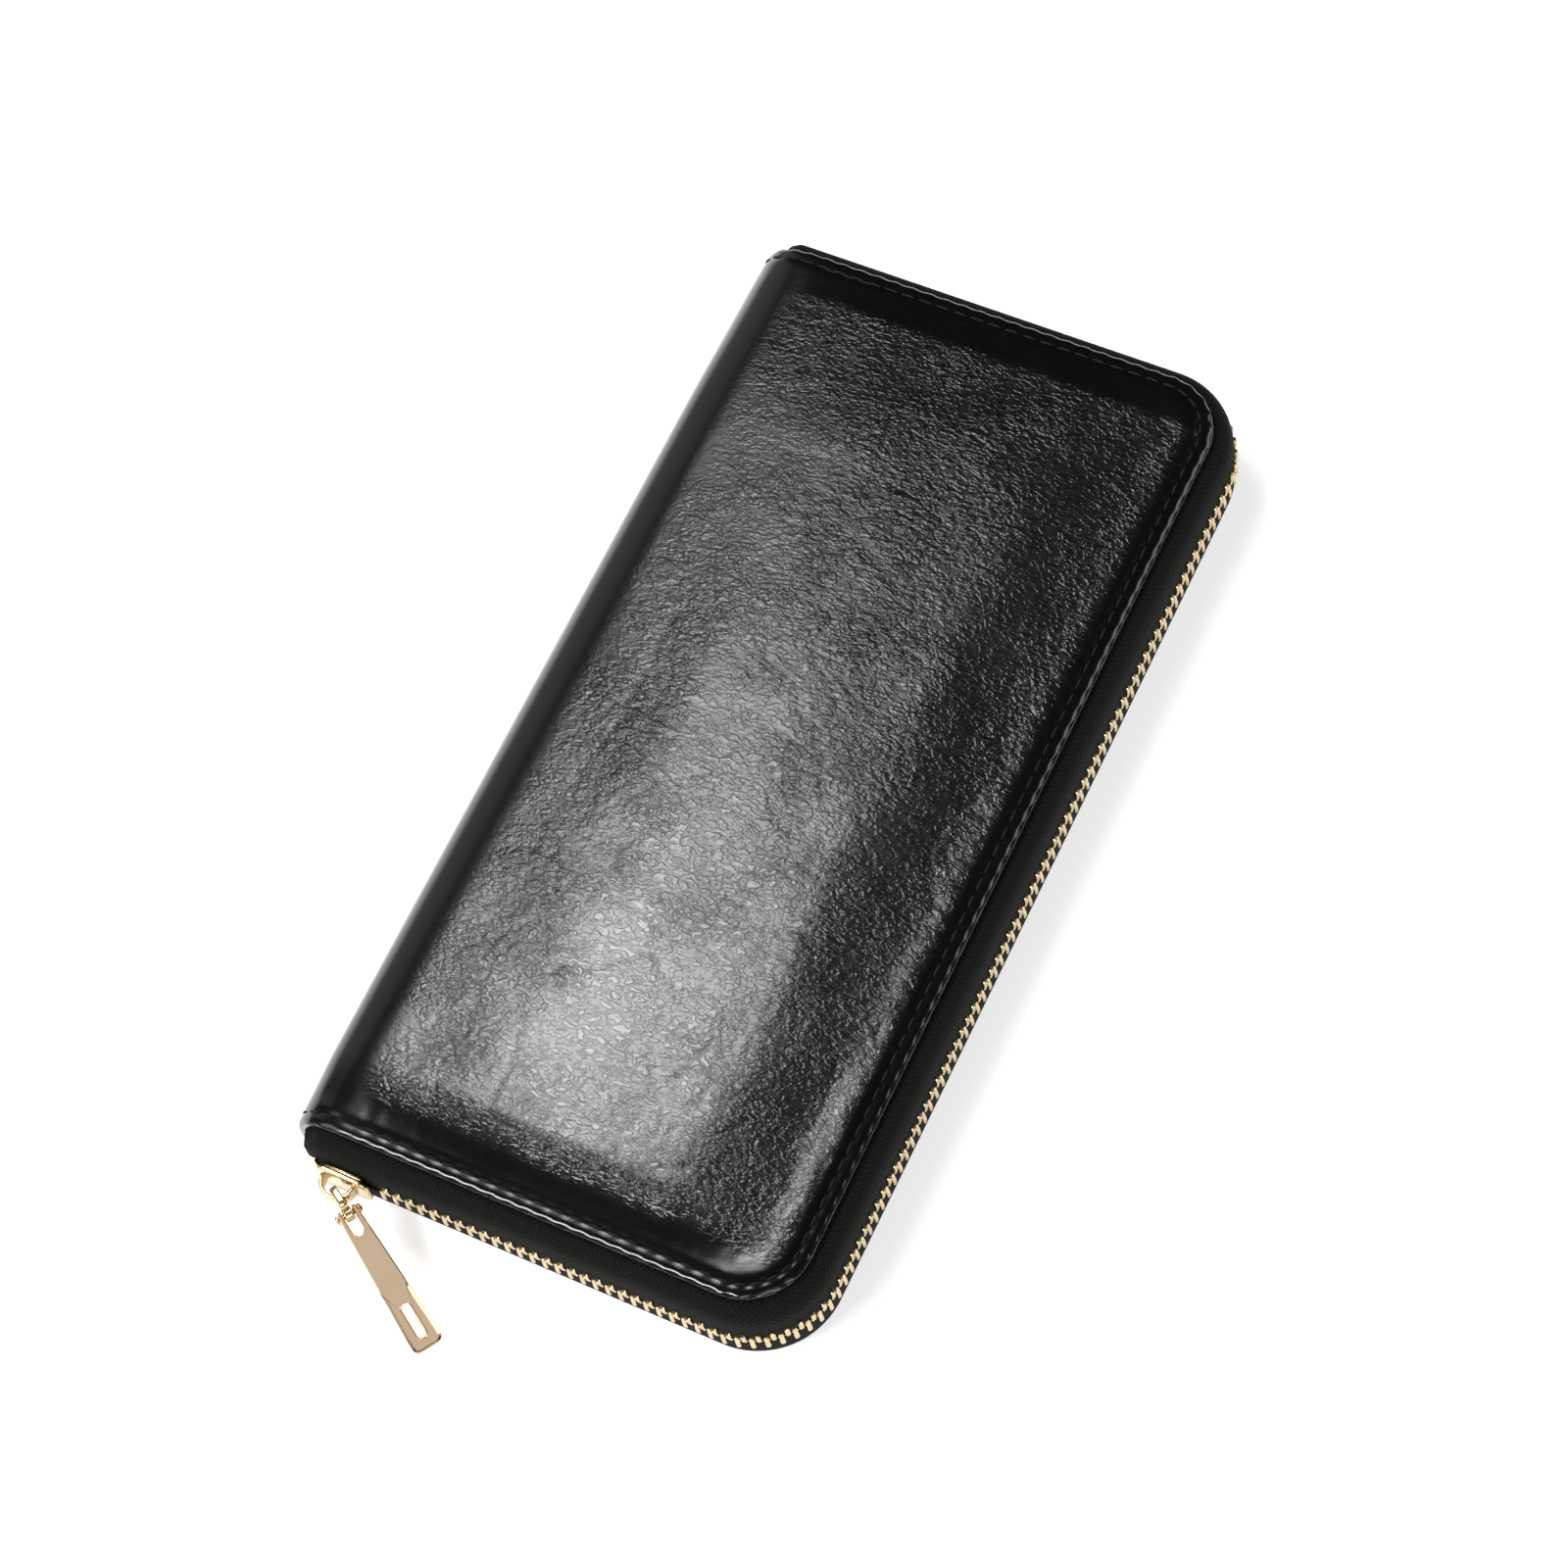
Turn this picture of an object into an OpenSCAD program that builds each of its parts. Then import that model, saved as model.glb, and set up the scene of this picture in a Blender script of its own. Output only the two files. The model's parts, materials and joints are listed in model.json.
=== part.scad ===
// Zip around wallet, closed, lying on its back cover.
// +X points from the spine to the zip, +Y runs along the length, +Z is up.
// The origin is on the resting face, under the middle of the back cover.

/* [Covers] */
// Length of the covers along the spine
leather_l = 190; // [180:1:200]
// Distance from the middle of the covers to the edge opposite the spine
edge_x = 47.5; // [44:0.5:52]
// Distance from the middle of the covers to the crease beside the spine
crease_reach = 43; // [40:0.5:44]
// How far the spine bulges out past the creases
spine_bulge = 5; // [3:0.5:6]
// Radius of the two cover corners at the zip side
corner_r = 12; // [10:0.5:16]
// Width of the flat border between the cover edge and the padded panel
border_w = 9; // [7:0.5:11]
// Height by which the padded panel stands out past the border
pad_rise = 1; // [0.6:0.1:1.5]
// Thickness of the leather
leather_t = 1.2; // [1:0.1:1.4]
// Thickness of the turned-in leather margin under the zip tape
turned_t = 0.4; // [0.3:0.1:0.6]
// Thickness of the cover lining
lining_t = 0.6; // [0.4:0.1:0.8]
// Clear height between the two linings
inner_h = 18; // [18:0.5:24]

/* [Main zip] */
// Thickness of the zip tape
tape_t = 0.5; // [0.4:0.05:0.6]
// Distance from the cover edge out to the middle of the teeth
chain_out = 3.2; // [3:0.1:4]
// Distance from one tooth to the next in the same row
tooth_pitch = 2.45; // [2.3:0.05:2.8]
// Width of one tooth along the row
tooth_w = 1.1; // [0.9:0.05:1.2]
// Depth of a tooth from its outer to its inner face
tooth_d = 1.8; // [1.6:0.1:2]
// Length of the slider
slider_l = 10.4; // [9:0.2:12]
// Height of the slider
slider_h = 8.4; // [8:0.2:10]
// Distance from the crease to the middle of the parked slider
slider_park = 6.7; // [6.7:0.1:9]

/* [Pull] */
// Distance from the link's pivot to the pull pin
link_reach = 4.6; // [4.4:0.1:6]
// Direction of the link and pull, turned from +X
pull_turn = -32.7; // [-60:0.1:-20]
// Downward slope of the pull at rest
pull_slope = 23; // [20:0.5:26]
// Length of the pull from its pin to its free end
pull_l = 27; // [24:0.5:30]
// Width of the pull at its free end
pull_w = 6; // [5:0.1:7]
// Thickness of the pull
pull_t = 2.2; // [1.8:0.1:2.6]
// Radius of the pull pin
pin_r = 0.5; // [0.4:0.05:0.6]

/* [Inside] */
// Thickness of one card slot strip
strip_t = 0.45; // [0.4:0.05:0.5]
// Step from one card slot's free edge to the next
strip_step = 12.5; // [10:0.5:14]
// Length of the card slot strips and the coin pocket
inside_l = 172; // [160:1:176]
// Distance from the middle to the coin pocket's zip edge
coin_x = 26; // [20:1:28]
// Clear height inside the coin pocket
coin_gap = 4.2; // [4.2:0.1:5]
// Thickness of the coin pocket walls
coin_wall_t = 0.6; // [0.5:0.1:0.8]

/* [Hidden] */
$fn = 48;
eps = 0.01;

// levels of the back cover, from the resting face up
border_z = pad_rise;
turned_z = border_z + leather_t;
tape_z = turned_z + turned_t;
lining_z = tape_z + 0.6;
inner_z = lining_z + lining_t;
mid_z = inner_z + inner_h / 2;
total_z = 2 * mid_z;

half_l = leather_l / 2;
crease_x = -crease_reach;
corner_x = edge_x - corner_r;
corner_y = half_l - corner_r;
crease_gap = 0.15;

// spine arc through both creases
spine_half_h = mid_z - border_z;
spine_r = (spine_half_h * spine_half_h + spine_bulge * spine_bulge) / (2 * spine_bulge);
spine_cx = crease_x - spine_bulge + spine_r;

// main zip
chain_r = corner_r + chain_out;
tape_edge = 1;
tooth_tip = 0.8;
tooth_back = 2.9;
slider_x = crease_x + slider_park;
slider_y = -(half_l + chain_out);
plate_t = 0.9;
inner_plate_t = 0.9;
channel_gap = 0.2;
zip_start = slider_x + slider_l / 2 + 1.1;
bottom_run = corner_x - zip_start;
arc_run = chain_r * PI / 2;
long_run = 2 * corner_y;
top_run = corner_x - crease_x - 2.6;
tooth_count = floor((bottom_run + long_run + top_run + 2 * arc_run) / tooth_pitch);

// hoop and pull
hoop_r = 3.5;
hoop_t = 0.9;
hoop_h = 3.2;
hoop_base_y = slider_y - tooth_d / 2 - channel_gap - plate_t;
pivot_y = hoop_base_y - 1.75;
bar_r = 0.6;
eye_r = 1.35;
eye_w = 1.7;
eye_drop = 0.8;
cheek_w = 1;

// coin pocket
coin_half = coin_gap / 2;
coin_l = inside_l - 8;
coin_chain_x = coin_x + 3.5;
coin_pitch = 2;
coin_tooth_w = 0.85;
coin_slider_l = 7;
coin_slider_y = coin_l / 2 - 8;
gusset_x0 = crease_x + 3;
gusset_x1 = 18;

// colours
black_leather = [0.06, 0.06, 0.065];
black_cloth = [0.09, 0.09, 0.1];
foam_grey = [0.5, 0.5, 0.5];
board_tan = [0.62, 0.5, 0.36];
pale_gold = [0.85, 0.74, 0.55];

// ---------- shared shapes ----------

// Cover outline, pulled in from the three outer edges by inset, starting at x0
module cover_outline(inset, x0) {
  r = max(corner_r - inset, 1);
  x1 = edge_x - inset;
  y1 = half_l - inset;
  translate([x0, -y1]) square([x1 - r - x0, 2 * y1]);
  translate([x0, r - y1]) square([x1 - x0, 2 * (y1 - r)]);
  for (s = [-1, 1]) translate([x1 - r, s * (y1 - r)]) circle(r);
}

// Rounded panel set back from all four sides
module pad_outline(inset) {
  intersection() {
    cover_outline(inset, crease_x + 3);
    translate([crease_x + 3 + inset - border_w, -half_l]) square([leather_l, leather_l]);
  }
}

module plate(z, t) {
  translate([0, 0, z]) linear_extrude(t) children();
}

// Turns a piece of the back cover into its twin on the front cover
module front_twin() {
  translate([0, 0, total_z]) mirror([0, 0, 1]) children();
}

// Carries a profile (x: distance out from the cover edge, y: height) along the three zip sides
module along_zip(x_from) {
  for (s = [0, 1]) mirror([0, s, 0]) {
    translate([x_from, half_l, 0]) rotate([90, 0, 90]) linear_extrude(corner_x - x_from) children();
    translate([corner_x, corner_y, 0]) rotate_extrude(angle = 90) translate([corner_r, 0]) children();
  }
  translate([edge_x, corner_y, 0]) rotate([90, 0, 0]) linear_extrude(long_run) children();
}

// Places a piece at distance s along the chain: its +X points out, its +Y along the chain
module on_chain(s) {
  s1 = s - bottom_run;
  s2 = s1 - arc_run;
  s3 = s2 - long_run;
  s4 = s3 - arc_run;
  if (s1 < 0) translate([zip_start + s, slider_y, mid_z]) rotate(-90) children();
  else if (s2 < 0) translate([corner_x, -corner_y, mid_z]) rotate(s1 / chain_r * 180 / PI - 90)
    translate([chain_r, 0, 0]) children();
  else if (s3 < 0) translate([edge_x + chain_out, s2 - corner_y, mid_z]) children();
  else if (s4 < 0) translate([corner_x, corner_y, mid_z]) rotate(s3 / chain_r * 180 / PI)
    translate([chain_r, 0, 0]) children();
  else translate([corner_x - s4, -slider_y, mid_z]) rotate(90) children();
}

// One tooth of the lower row, clamped on the tape's edge; d: depth, w: width, back: leg length
module tooth(d, w, back, tip, slot, tape_end) {
  rotate([90, 0, 0]) linear_extrude(w, center = true) polygon([
    [-d / 2, -back], [-slot, -back], [-slot, -tape_end], [slot, -tape_end], [slot, -back],
    [d / 2, -back], [d / 2, 0], [d / 4, tip], [-d / 4, tip], [-d / 2, 0]
  ]);
}

// ---------- back cover ----------

module back_leather() {
  color(black_leather) difference() {
    union() {
      plate(border_z, leather_t + turned_t) cover_outline(0, crease_x + crease_gap);
      plate(0, border_z + eps) pad_outline(border_w);
    }
    plate(leather_t, turned_z) pad_outline(border_w + leather_t);
    plate(turned_z, 1) cover_outline(border_w, crease_x);
  }
}

module back_pad() {
  color(foam_grey) plate(leather_t, tape_z - leather_t) pad_outline(border_w + leather_t + 0.1);
}

module back_board() {
  color(board_tan) plate(tape_z, lining_z - tape_z) cover_outline(border_w + 0.1, crease_x + 0.5);
}

module back_lining() {
  color(black_cloth) plate(lining_z, lining_t) cover_outline(0.6, crease_x + 0.5);
}

// Card slot strip number k, counted from the cover inwards
module back_card_slot(k) {
  top_x = edge_x - border_w - strip_step * (k - 1);
  low_x = crease_x + 4;
  z = inner_z + 0.03 + (k - 1) * (strip_t + 0.05);
  color(black_leather) plate(z, strip_t)
    translate([low_x, -inside_l / 2]) square([top_x - low_x, inside_l]);
}

// Zip tape: sewn flat under the cover edge, then out and up to the teeth
module lower_zip_tape() {
  flat_in = -7;
  rise_z = tape_z + 5;
  top_z = mid_z - tape_edge;
  out = chain_out;
  h = tape_t / 2;
  color(black_cloth) along_zip(crease_x + 0.1) polygon([
    [flat_in, tape_z + 0.02], [0, tape_z + 0.02], [out + h, rise_z], [out + h, top_z],
    [out - h, top_z], [out - h, rise_z + 0.3], [-0.3, tape_z + 0.58], [flat_in, tape_z + 0.58]
  ]);
}

// All the teeth on one tape, from shift pitches past the slider round to the far end
module tooth_row(shift) {
  color(pale_gold) for (k = [0:tooth_count - 2]) on_chain((k + shift) * tooth_pitch)
    tooth(tooth_d, tooth_w, tooth_back, tooth_tip, tape_t / 2 + 0.05, tape_edge - 0.05);
}

module lower_zip_teeth() {
  tooth_row(0.25);
}

// Folded metal stop on the tape's edge, between the crease and the slider's mouth
module lower_top_stop() {
  color(pale_gold) translate([crease_x + 0.65, slider_y, mid_z - tape_edge - 1.1]) difference() {
    cube([0.9, tooth_d, 3], center = true);
    translate([0, 0, -0.3]) cube([2, tape_t + 0.1, 3], center = true);
  }
}

// Stop at the far end, clipped round both tape edges with its web between them
module bottom_stop() {
  color(pale_gold) translate([crease_x + 1.3, -slider_y, mid_z]) difference() {
    cube([2, 2.2, 5], center = true);
    for (s = [-1, 1]) translate([0, 0, s * 2.3]) cube([3, 1, 3], center = true);
  }
}

// ---------- spine ----------

// Part of the spine's arc between two radii, drawn in the X-Z plane and carried along Y
module spine_arc(r_out, r_in, l) {
  translate([0, l / 2, 0]) rotate([90, 0, 0]) linear_extrude(l) intersection() {
    difference() {
      translate([spine_cx, mid_z]) circle(r_out, $fn = 120);
      translate([spine_cx, mid_z]) circle(r_in, $fn = 120);
    }
    translate([crease_x - crease_gap - 20, 0]) square([20, total_z]);
  }
}

module spine_leather() {
  color(black_leather) spine_arc(spine_r, spine_r - leather_t, leather_l);
}

module spine_pad() {
  color(foam_grey) spine_arc(spine_r - leather_t, spine_r - leather_t - 1, leather_l - 14);
}

module spine_lining() {
  color(black_cloth) spine_arc(spine_r - leather_t - 1, spine_r - leather_t - 1.5, leather_l - 10);
}

// ---------- coin pocket, on the spine ----------

module coin_wall() {
  z = mid_z - coin_half - coin_wall_t;
  color(black_cloth) translate([gusset_x0, -coin_l / 2, z])
    cube([coin_x - gusset_x0, coin_l, coin_wall_t]);
}

module coin_pocket_back_wall() {
  coin_wall();
}

module coin_pocket_front_wall() {
  front_twin() coin_wall();
}

// Strip closing the pocket at the spine side and both ends, as three lengths
module coin_pocket_gusset() {
  t = coin_wall_t;
  z = mid_z - coin_half;
  color(black_cloth) {
    translate([gusset_x0, -coin_l / 2, z]) cube([t, coin_l, coin_gap]);
    for (y = [-coin_l / 2, coin_l / 2 - t])
      translate([gusset_x0 + t + 0.05, y, z]) cube([coin_x - gusset_x0 - t - 0.05, t, coin_gap]);
  }
}

// Coin zip tape: on from the wall's edge, then turned up to the teeth
module coin_tape() {
  z = mid_z - coin_half - coin_wall_t;
  h = 0.25;
  color(black_cloth) translate([0, coin_l / 2, 0]) rotate([90, 0, 0]) linear_extrude(coin_l) polygon([
    [coin_x, z], [coin_chain_x + h, z], [coin_chain_x + h, mid_z - 0.8],
    [coin_chain_x - h, mid_z - 0.8], [coin_chain_x - h, z + 0.5], [coin_x, z + 0.5]
  ]);
}

module coin_zip_back_tape() {
  coin_tape();
}

module coin_zip_front_tape() {
  front_twin() coin_tape();
}

// One row of coin zip teeth, from the pocket's end up to the parked slider
module coin_teeth(shift) {
  first_y = 3 - coin_l / 2;
  last_y = coin_slider_y - coin_slider_l / 2 - 1;
  color(pale_gold) for (y = [first_y + shift:coin_pitch:last_y])
    translate([coin_chain_x, y, mid_z]) tooth(1.4, coin_tooth_w, 1.5, 0.55, 0.3, 0.75);
}

module coin_zip_back_teeth() {
  coin_teeth(0);
}

module coin_zip_front_teeth() {
  front_twin() coin_teeth(coin_pitch / 2);
}

// Crimped stops at both ends of the coin zip
module coin_zip_stops() {
  ends = [1.2 - coin_l / 2, coin_l / 2 - 2];
  color(pale_gold) for (y = ends) translate([coin_chain_x, y, mid_z]) difference() {
    cube([1.5, 1.2, 3.2], center = true);
    for (s = [-1, 1]) translate([0, 0, s * 1.75]) cube([0.6, 2, 2], center = true);
  }
}

// ---------- end gussets ----------

// Folded cloth between the back cover and the coin pocket, at the -Y end
module back_gusset() {
  z0 = inner_z + 0.05;
  z1 = mid_z - coin_half;
  zf = z0 + 2.5;
  t = 0.5;
  y_cover = -(inside_l / 2 + 5);
  y_fold = y_cover + 5.5;
  y_coin = -coin_l / 2 - 0.05;
  color(black_cloth) translate([gusset_x0, 0, 0]) rotate([90, 0, 90])
    linear_extrude(gusset_x1 - gusset_x0) polygon([
      [y_cover, z0], [y_cover + t, z0], [y_fold + t, zf], [y_fold + t, zf + 1], [y_coin, z1],
      [y_coin, z1 + t], [y_fold, zf + 1.6], [y_fold, zf + 0.3], [y_cover, z0 + t]
    ]);
}

module gusset_back_slider_end() {
  back_gusset();
}

module gusset_back_far_end() {
  mirror([0, 1, 0]) back_gusset();
}

module gusset_front_slider_end() {
  front_twin() back_gusset();
}

module gusset_front_far_end() {
  front_twin() mirror([0, 1, 0]) back_gusset();
}

// ---------- front cover, the same build turned over ----------

module front_leather() {
  front_twin() back_leather();
}

module front_pad() {
  front_twin() back_pad();
}

module front_board() {
  front_twin() back_board();
}

module front_lining() {
  front_twin() back_lining();
}

module front_card_slot(k) {
  front_twin() back_card_slot(k);
}

module upper_zip_tape() {
  front_twin() lower_zip_tape();
}

// The upper row sits half a pitch along from the lower one
module upper_zip_teeth() {
  front_twin() tooth_row(0.75);
}

module upper_top_stop() {
  front_twin() lower_top_stop();
}

// ---------- main slider and its pull ----------

// Slider: outer and inner plates joined by a neck at the mouth, with rims beside the tape
module slider_body() {
  half_d = tooth_d / 2 + channel_gap;
  rim_t = 0.8;
  rim_d = half_d - tape_t / 2 - 0.2;
  color(pale_gold) translate([slider_x, slider_y, mid_z]) {
    for (s = [-1, 1]) rotate([90, 0, 0]) translate([0, 0, s > 0 ? half_d : -half_d - inner_plate_t])
      linear_extrude(s > 0 ? plate_t : inner_plate_t) slider_outline();
    for (s = [-1, 1], u = [-1, 1])
      translate([0, s * (half_d - rim_d / 2 + eps), u * (slider_h - rim_t) / 2])
        cube([slider_l - 3, rim_d + 2 * eps, rim_t], center = true);
    translate([-slider_l / 2 + 1.4, 0, 0]) cube([1.8, 2 * half_d + 2 * eps, 1.7], center = true);
  }
}

module slider_outline() {
  r = 1.5;
  square([slider_l - 2 * r, slider_h], center = true);
  square([slider_l, slider_h - 2 * r], center = true);
  for (x = [-1, 1], y = [-1, 1]) translate([x * (slider_l / 2 - r), y * (slider_h / 2 - r)]) circle(r);
}

// Hoop: a flat band bent to a half round, standing out from the outer plate
module slider_hoop() {
  color(pale_gold) translate([slider_x - 0.8, hoop_base_y, mid_z - hoop_h / 2]) linear_extrude(hoop_h)
    difference() {
      circle(hoop_r);
      circle(hoop_r - hoop_t);
      translate([-hoop_r - 1, 0]) square([2 * hoop_r + 2, hoop_r + 1]);
    }
}

// Places a piece at the link's pivot with +X along the link
module at_link() {
  translate([slider_x - 0.8, pivot_y, mid_z]) rotate(pull_turn) children();
}

// Turns a cylinder onto the eye's axis
module at_eye() {
  translate([link_reach, 0, -eye_drop]) rotate([90, 0, 0]) children();
}

// Link: a bar through the hoop, two arms round its band, and an eye for the pull pin
module pull_link() {
  arm_z = hoop_h / 2 + 0.15;
  arm_t = 0.8;
  arm_l = link_reach - 0.4;
  color(pale_gold) at_link() {
    cylinder(h = 2 * (arm_z + arm_t), r = bar_r, center = true);
    for (s = [-1, 1]) translate([0, -0.9, s > 0 ? arm_z : -arm_z - arm_t]) cube([arm_l, 1.8, arm_t]);
    difference() {
      union() {
        translate([3.4, -eye_w / 2, -arm_z - arm_t / 2]) cube([1, eye_w, 2 * arm_z + arm_t]);
        at_eye() cylinder(h = eye_w, r = eye_r, center = true);
      }
      at_eye() cylinder(h = eye_w + 1, r = pin_r + 0.08, center = true);
    }
  }
}

// Places a piece at the pull pin: +X along the pull, +Y along the pin
module at_pin() {
  at_link() translate([link_reach, 0, -eye_drop]) rotate([0, pull_slope, 0]) children();
}

// Pull tab: forked round the eye, widening to a round end with a slot
module pull_tab() {
  fork_w = eye_w + 0.3 + 2 * cheek_w;
  end_r = pull_w / 2;
  fork_l = 4.2;
  slot_r = 0.8;
  slot_l = 5;
  slot_x = pull_l - end_r - slot_l / 2;
  hole_fit = 0.02;
  color(pale_gold) at_pin() difference() {
    union() {
      linear_extrude(pull_t, center = true) {
        polygon([
          [0, -fork_w / 2], [pull_l - end_r, -end_r], [pull_l - end_r, end_r], [0, fork_w / 2]
        ]);
        translate([pull_l - end_r, 0]) circle(end_r);
      }
      rotate([90, 0, 0]) cylinder(h = fork_w, r = pull_t / 2, center = true);
    }
    translate([(fork_l - 4) / 2, 0, 0]) cube([fork_l + 4, eye_w + 0.3, 6], center = true);
    rotate([90, 0, 0]) cylinder(h = fork_w + 1, r = pin_r + hole_fit, center = true);
    for (s = [-1, 1]) translate([slot_x + s * slot_l / 2, 0, 0]) cylinder(h = 5, r = slot_r, center = true);
    translate([slot_x, 0, 0]) cube([slot_l, 2 * slot_r, 5], center = true);
  }
}

// Pin through the fork and the eye, with a domed head at each end
module pull_pin() {
  head_clear = 0.06;
  half = eye_w / 2 + 0.15 + cheek_w + head_clear;
  head_r = 0.95;
  color(pale_gold) at_pin() {
    rotate([90, 0, 0]) cylinder(h = 2 * half, r = pin_r, center = true);
    for (s = [-1, 1]) difference() {
      translate([0, s * half, 0]) sphere(head_r);
      translate([0, s * (half - 1), 0]) cube([3, 2, 3], center = true);
    }
  }
}

// ---------- coin zip slider and its pull ----------

module coin_slider_body() {
  half_d = 0.9;
  t = 0.7;
  color(pale_gold) translate([coin_chain_x, coin_slider_y, mid_z]) {
    translate([half_d + t / 2, 0, 0]) cube([t, coin_slider_l, 5], center = true);
    translate([-half_d - t / 2, 0, 0]) cube([t, coin_slider_l, 3.6], center = true);
    translate([0, coin_slider_l / 2 - 1, 0]) cube([2 * half_d + 0.02, 1.4, 1.2], center = true);
  }
}

module coin_slider_hoop() {
  color(pale_gold) translate([coin_chain_x + 1.6, coin_slider_y, mid_z - 1.1]) linear_extrude(2.2)
    difference() {
      circle(2.5);
      circle(1.8);
      translate([-4, -4]) square([4, 8]);
    }
}

// Small pull: a bar through the hoop, two arms, and a plain flat tab
module coin_pull_tab() {
  color(pale_gold) translate([coin_chain_x + 2.75, coin_slider_y, mid_z]) rotate(-80) {
    cylinder(h = 3.9, r = 0.45, center = true);
    for (s = [-1, 1]) translate([0, -0.5, s > 0 ? 1.25 : -1.95]) cube([4, 1, 0.7]);
    translate([3.6, -0.45, -1.95]) cube([8.4, 0.9, 3.9]);
    translate([12, 0, 0]) rotate([90, 0, 0]) cylinder(h = 0.9, r = 1.95, center = true);
  }
}

back_leather();
back_pad();
back_board();
back_lining();
back_card_slot(1);  // back_card_slot_1
back_card_slot(2);  // back_card_slot_2
back_card_slot(3);  // back_card_slot_3
back_card_slot(4);  // back_card_slot_4
lower_zip_tape();
lower_zip_teeth();
lower_top_stop();
bottom_stop();
spine_leather();
spine_pad();
spine_lining();
coin_pocket_back_wall();
coin_pocket_front_wall();
coin_pocket_gusset();
coin_zip_back_tape();
coin_zip_front_tape();
coin_zip_back_teeth();
coin_zip_front_teeth();
coin_zip_stops();
front_leather();
front_pad();
front_board();
front_lining();
front_card_slot(1);  // front_card_slot_1
front_card_slot(2);  // front_card_slot_2
front_card_slot(3);  // front_card_slot_3
front_card_slot(4);  // front_card_slot_4
upper_zip_tape();
upper_zip_teeth();
upper_top_stop();
gusset_back_slider_end();
gusset_back_far_end();
gusset_front_slider_end();
gusset_front_far_end();
slider_body();
slider_hoop();
pull_link();
pull_tab();
pull_pin();
coin_slider_body();
coin_slider_hoop();
coin_pull_tab();
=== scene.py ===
import json
import math

import bpy
import numpy as np
from mathutils import Matrix, Vector


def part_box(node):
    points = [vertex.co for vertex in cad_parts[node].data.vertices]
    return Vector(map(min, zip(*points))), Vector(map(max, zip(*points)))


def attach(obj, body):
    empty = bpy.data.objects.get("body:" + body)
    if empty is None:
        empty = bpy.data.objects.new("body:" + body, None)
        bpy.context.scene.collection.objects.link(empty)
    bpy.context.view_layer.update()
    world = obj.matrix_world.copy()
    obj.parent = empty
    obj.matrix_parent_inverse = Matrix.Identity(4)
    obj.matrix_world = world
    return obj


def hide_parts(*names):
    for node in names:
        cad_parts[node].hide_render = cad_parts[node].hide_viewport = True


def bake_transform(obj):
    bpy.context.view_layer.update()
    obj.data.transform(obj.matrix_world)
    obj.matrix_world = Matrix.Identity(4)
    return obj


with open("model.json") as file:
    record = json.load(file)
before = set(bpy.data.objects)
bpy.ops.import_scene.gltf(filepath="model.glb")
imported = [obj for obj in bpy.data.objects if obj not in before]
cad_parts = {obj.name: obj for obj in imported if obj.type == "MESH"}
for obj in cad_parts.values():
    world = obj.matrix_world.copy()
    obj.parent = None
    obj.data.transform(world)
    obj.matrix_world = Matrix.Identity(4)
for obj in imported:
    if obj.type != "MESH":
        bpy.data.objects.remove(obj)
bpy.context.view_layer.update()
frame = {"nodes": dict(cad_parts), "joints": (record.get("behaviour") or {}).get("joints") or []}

# ---------- camera ----------
# A view from above the near zip corner, with the spine at the left and the zip at the right,
# through a long lens and turned a little about its own line of sight.
azimuth, elevation, roll, distance = math.radians(40.56), math.radians(63.31), math.radians(-16.49), 0.7785
middle = Vector((0.00194, -0.0021, 0.01405))
back = Vector((math.sin(azimuth) * math.cos(elevation), -math.cos(azimuth) * math.cos(elevation),
               math.sin(elevation)))
level = Vector((math.cos(azimuth), math.sin(azimuth), 0))
upright = back.cross(level)
right = level * math.cos(roll) + upright * math.sin(roll)
up = upright * math.cos(roll) - level * math.sin(roll)
camera = bpy.data.objects.new("camera", bpy.data.cameras.new("camera"))
camera.data.lens, camera.data.sensor_width = 100.4, 36
camera.data.clip_start, camera.data.clip_end = 0.05, 20
place = Matrix((right, up, back)).transposed().to_4x4()
place.translation = middle + back * distance
camera.matrix_world = place
bpy.context.scene.collection.objects.link(camera)
bpy.context.scene.camera = camera


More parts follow.
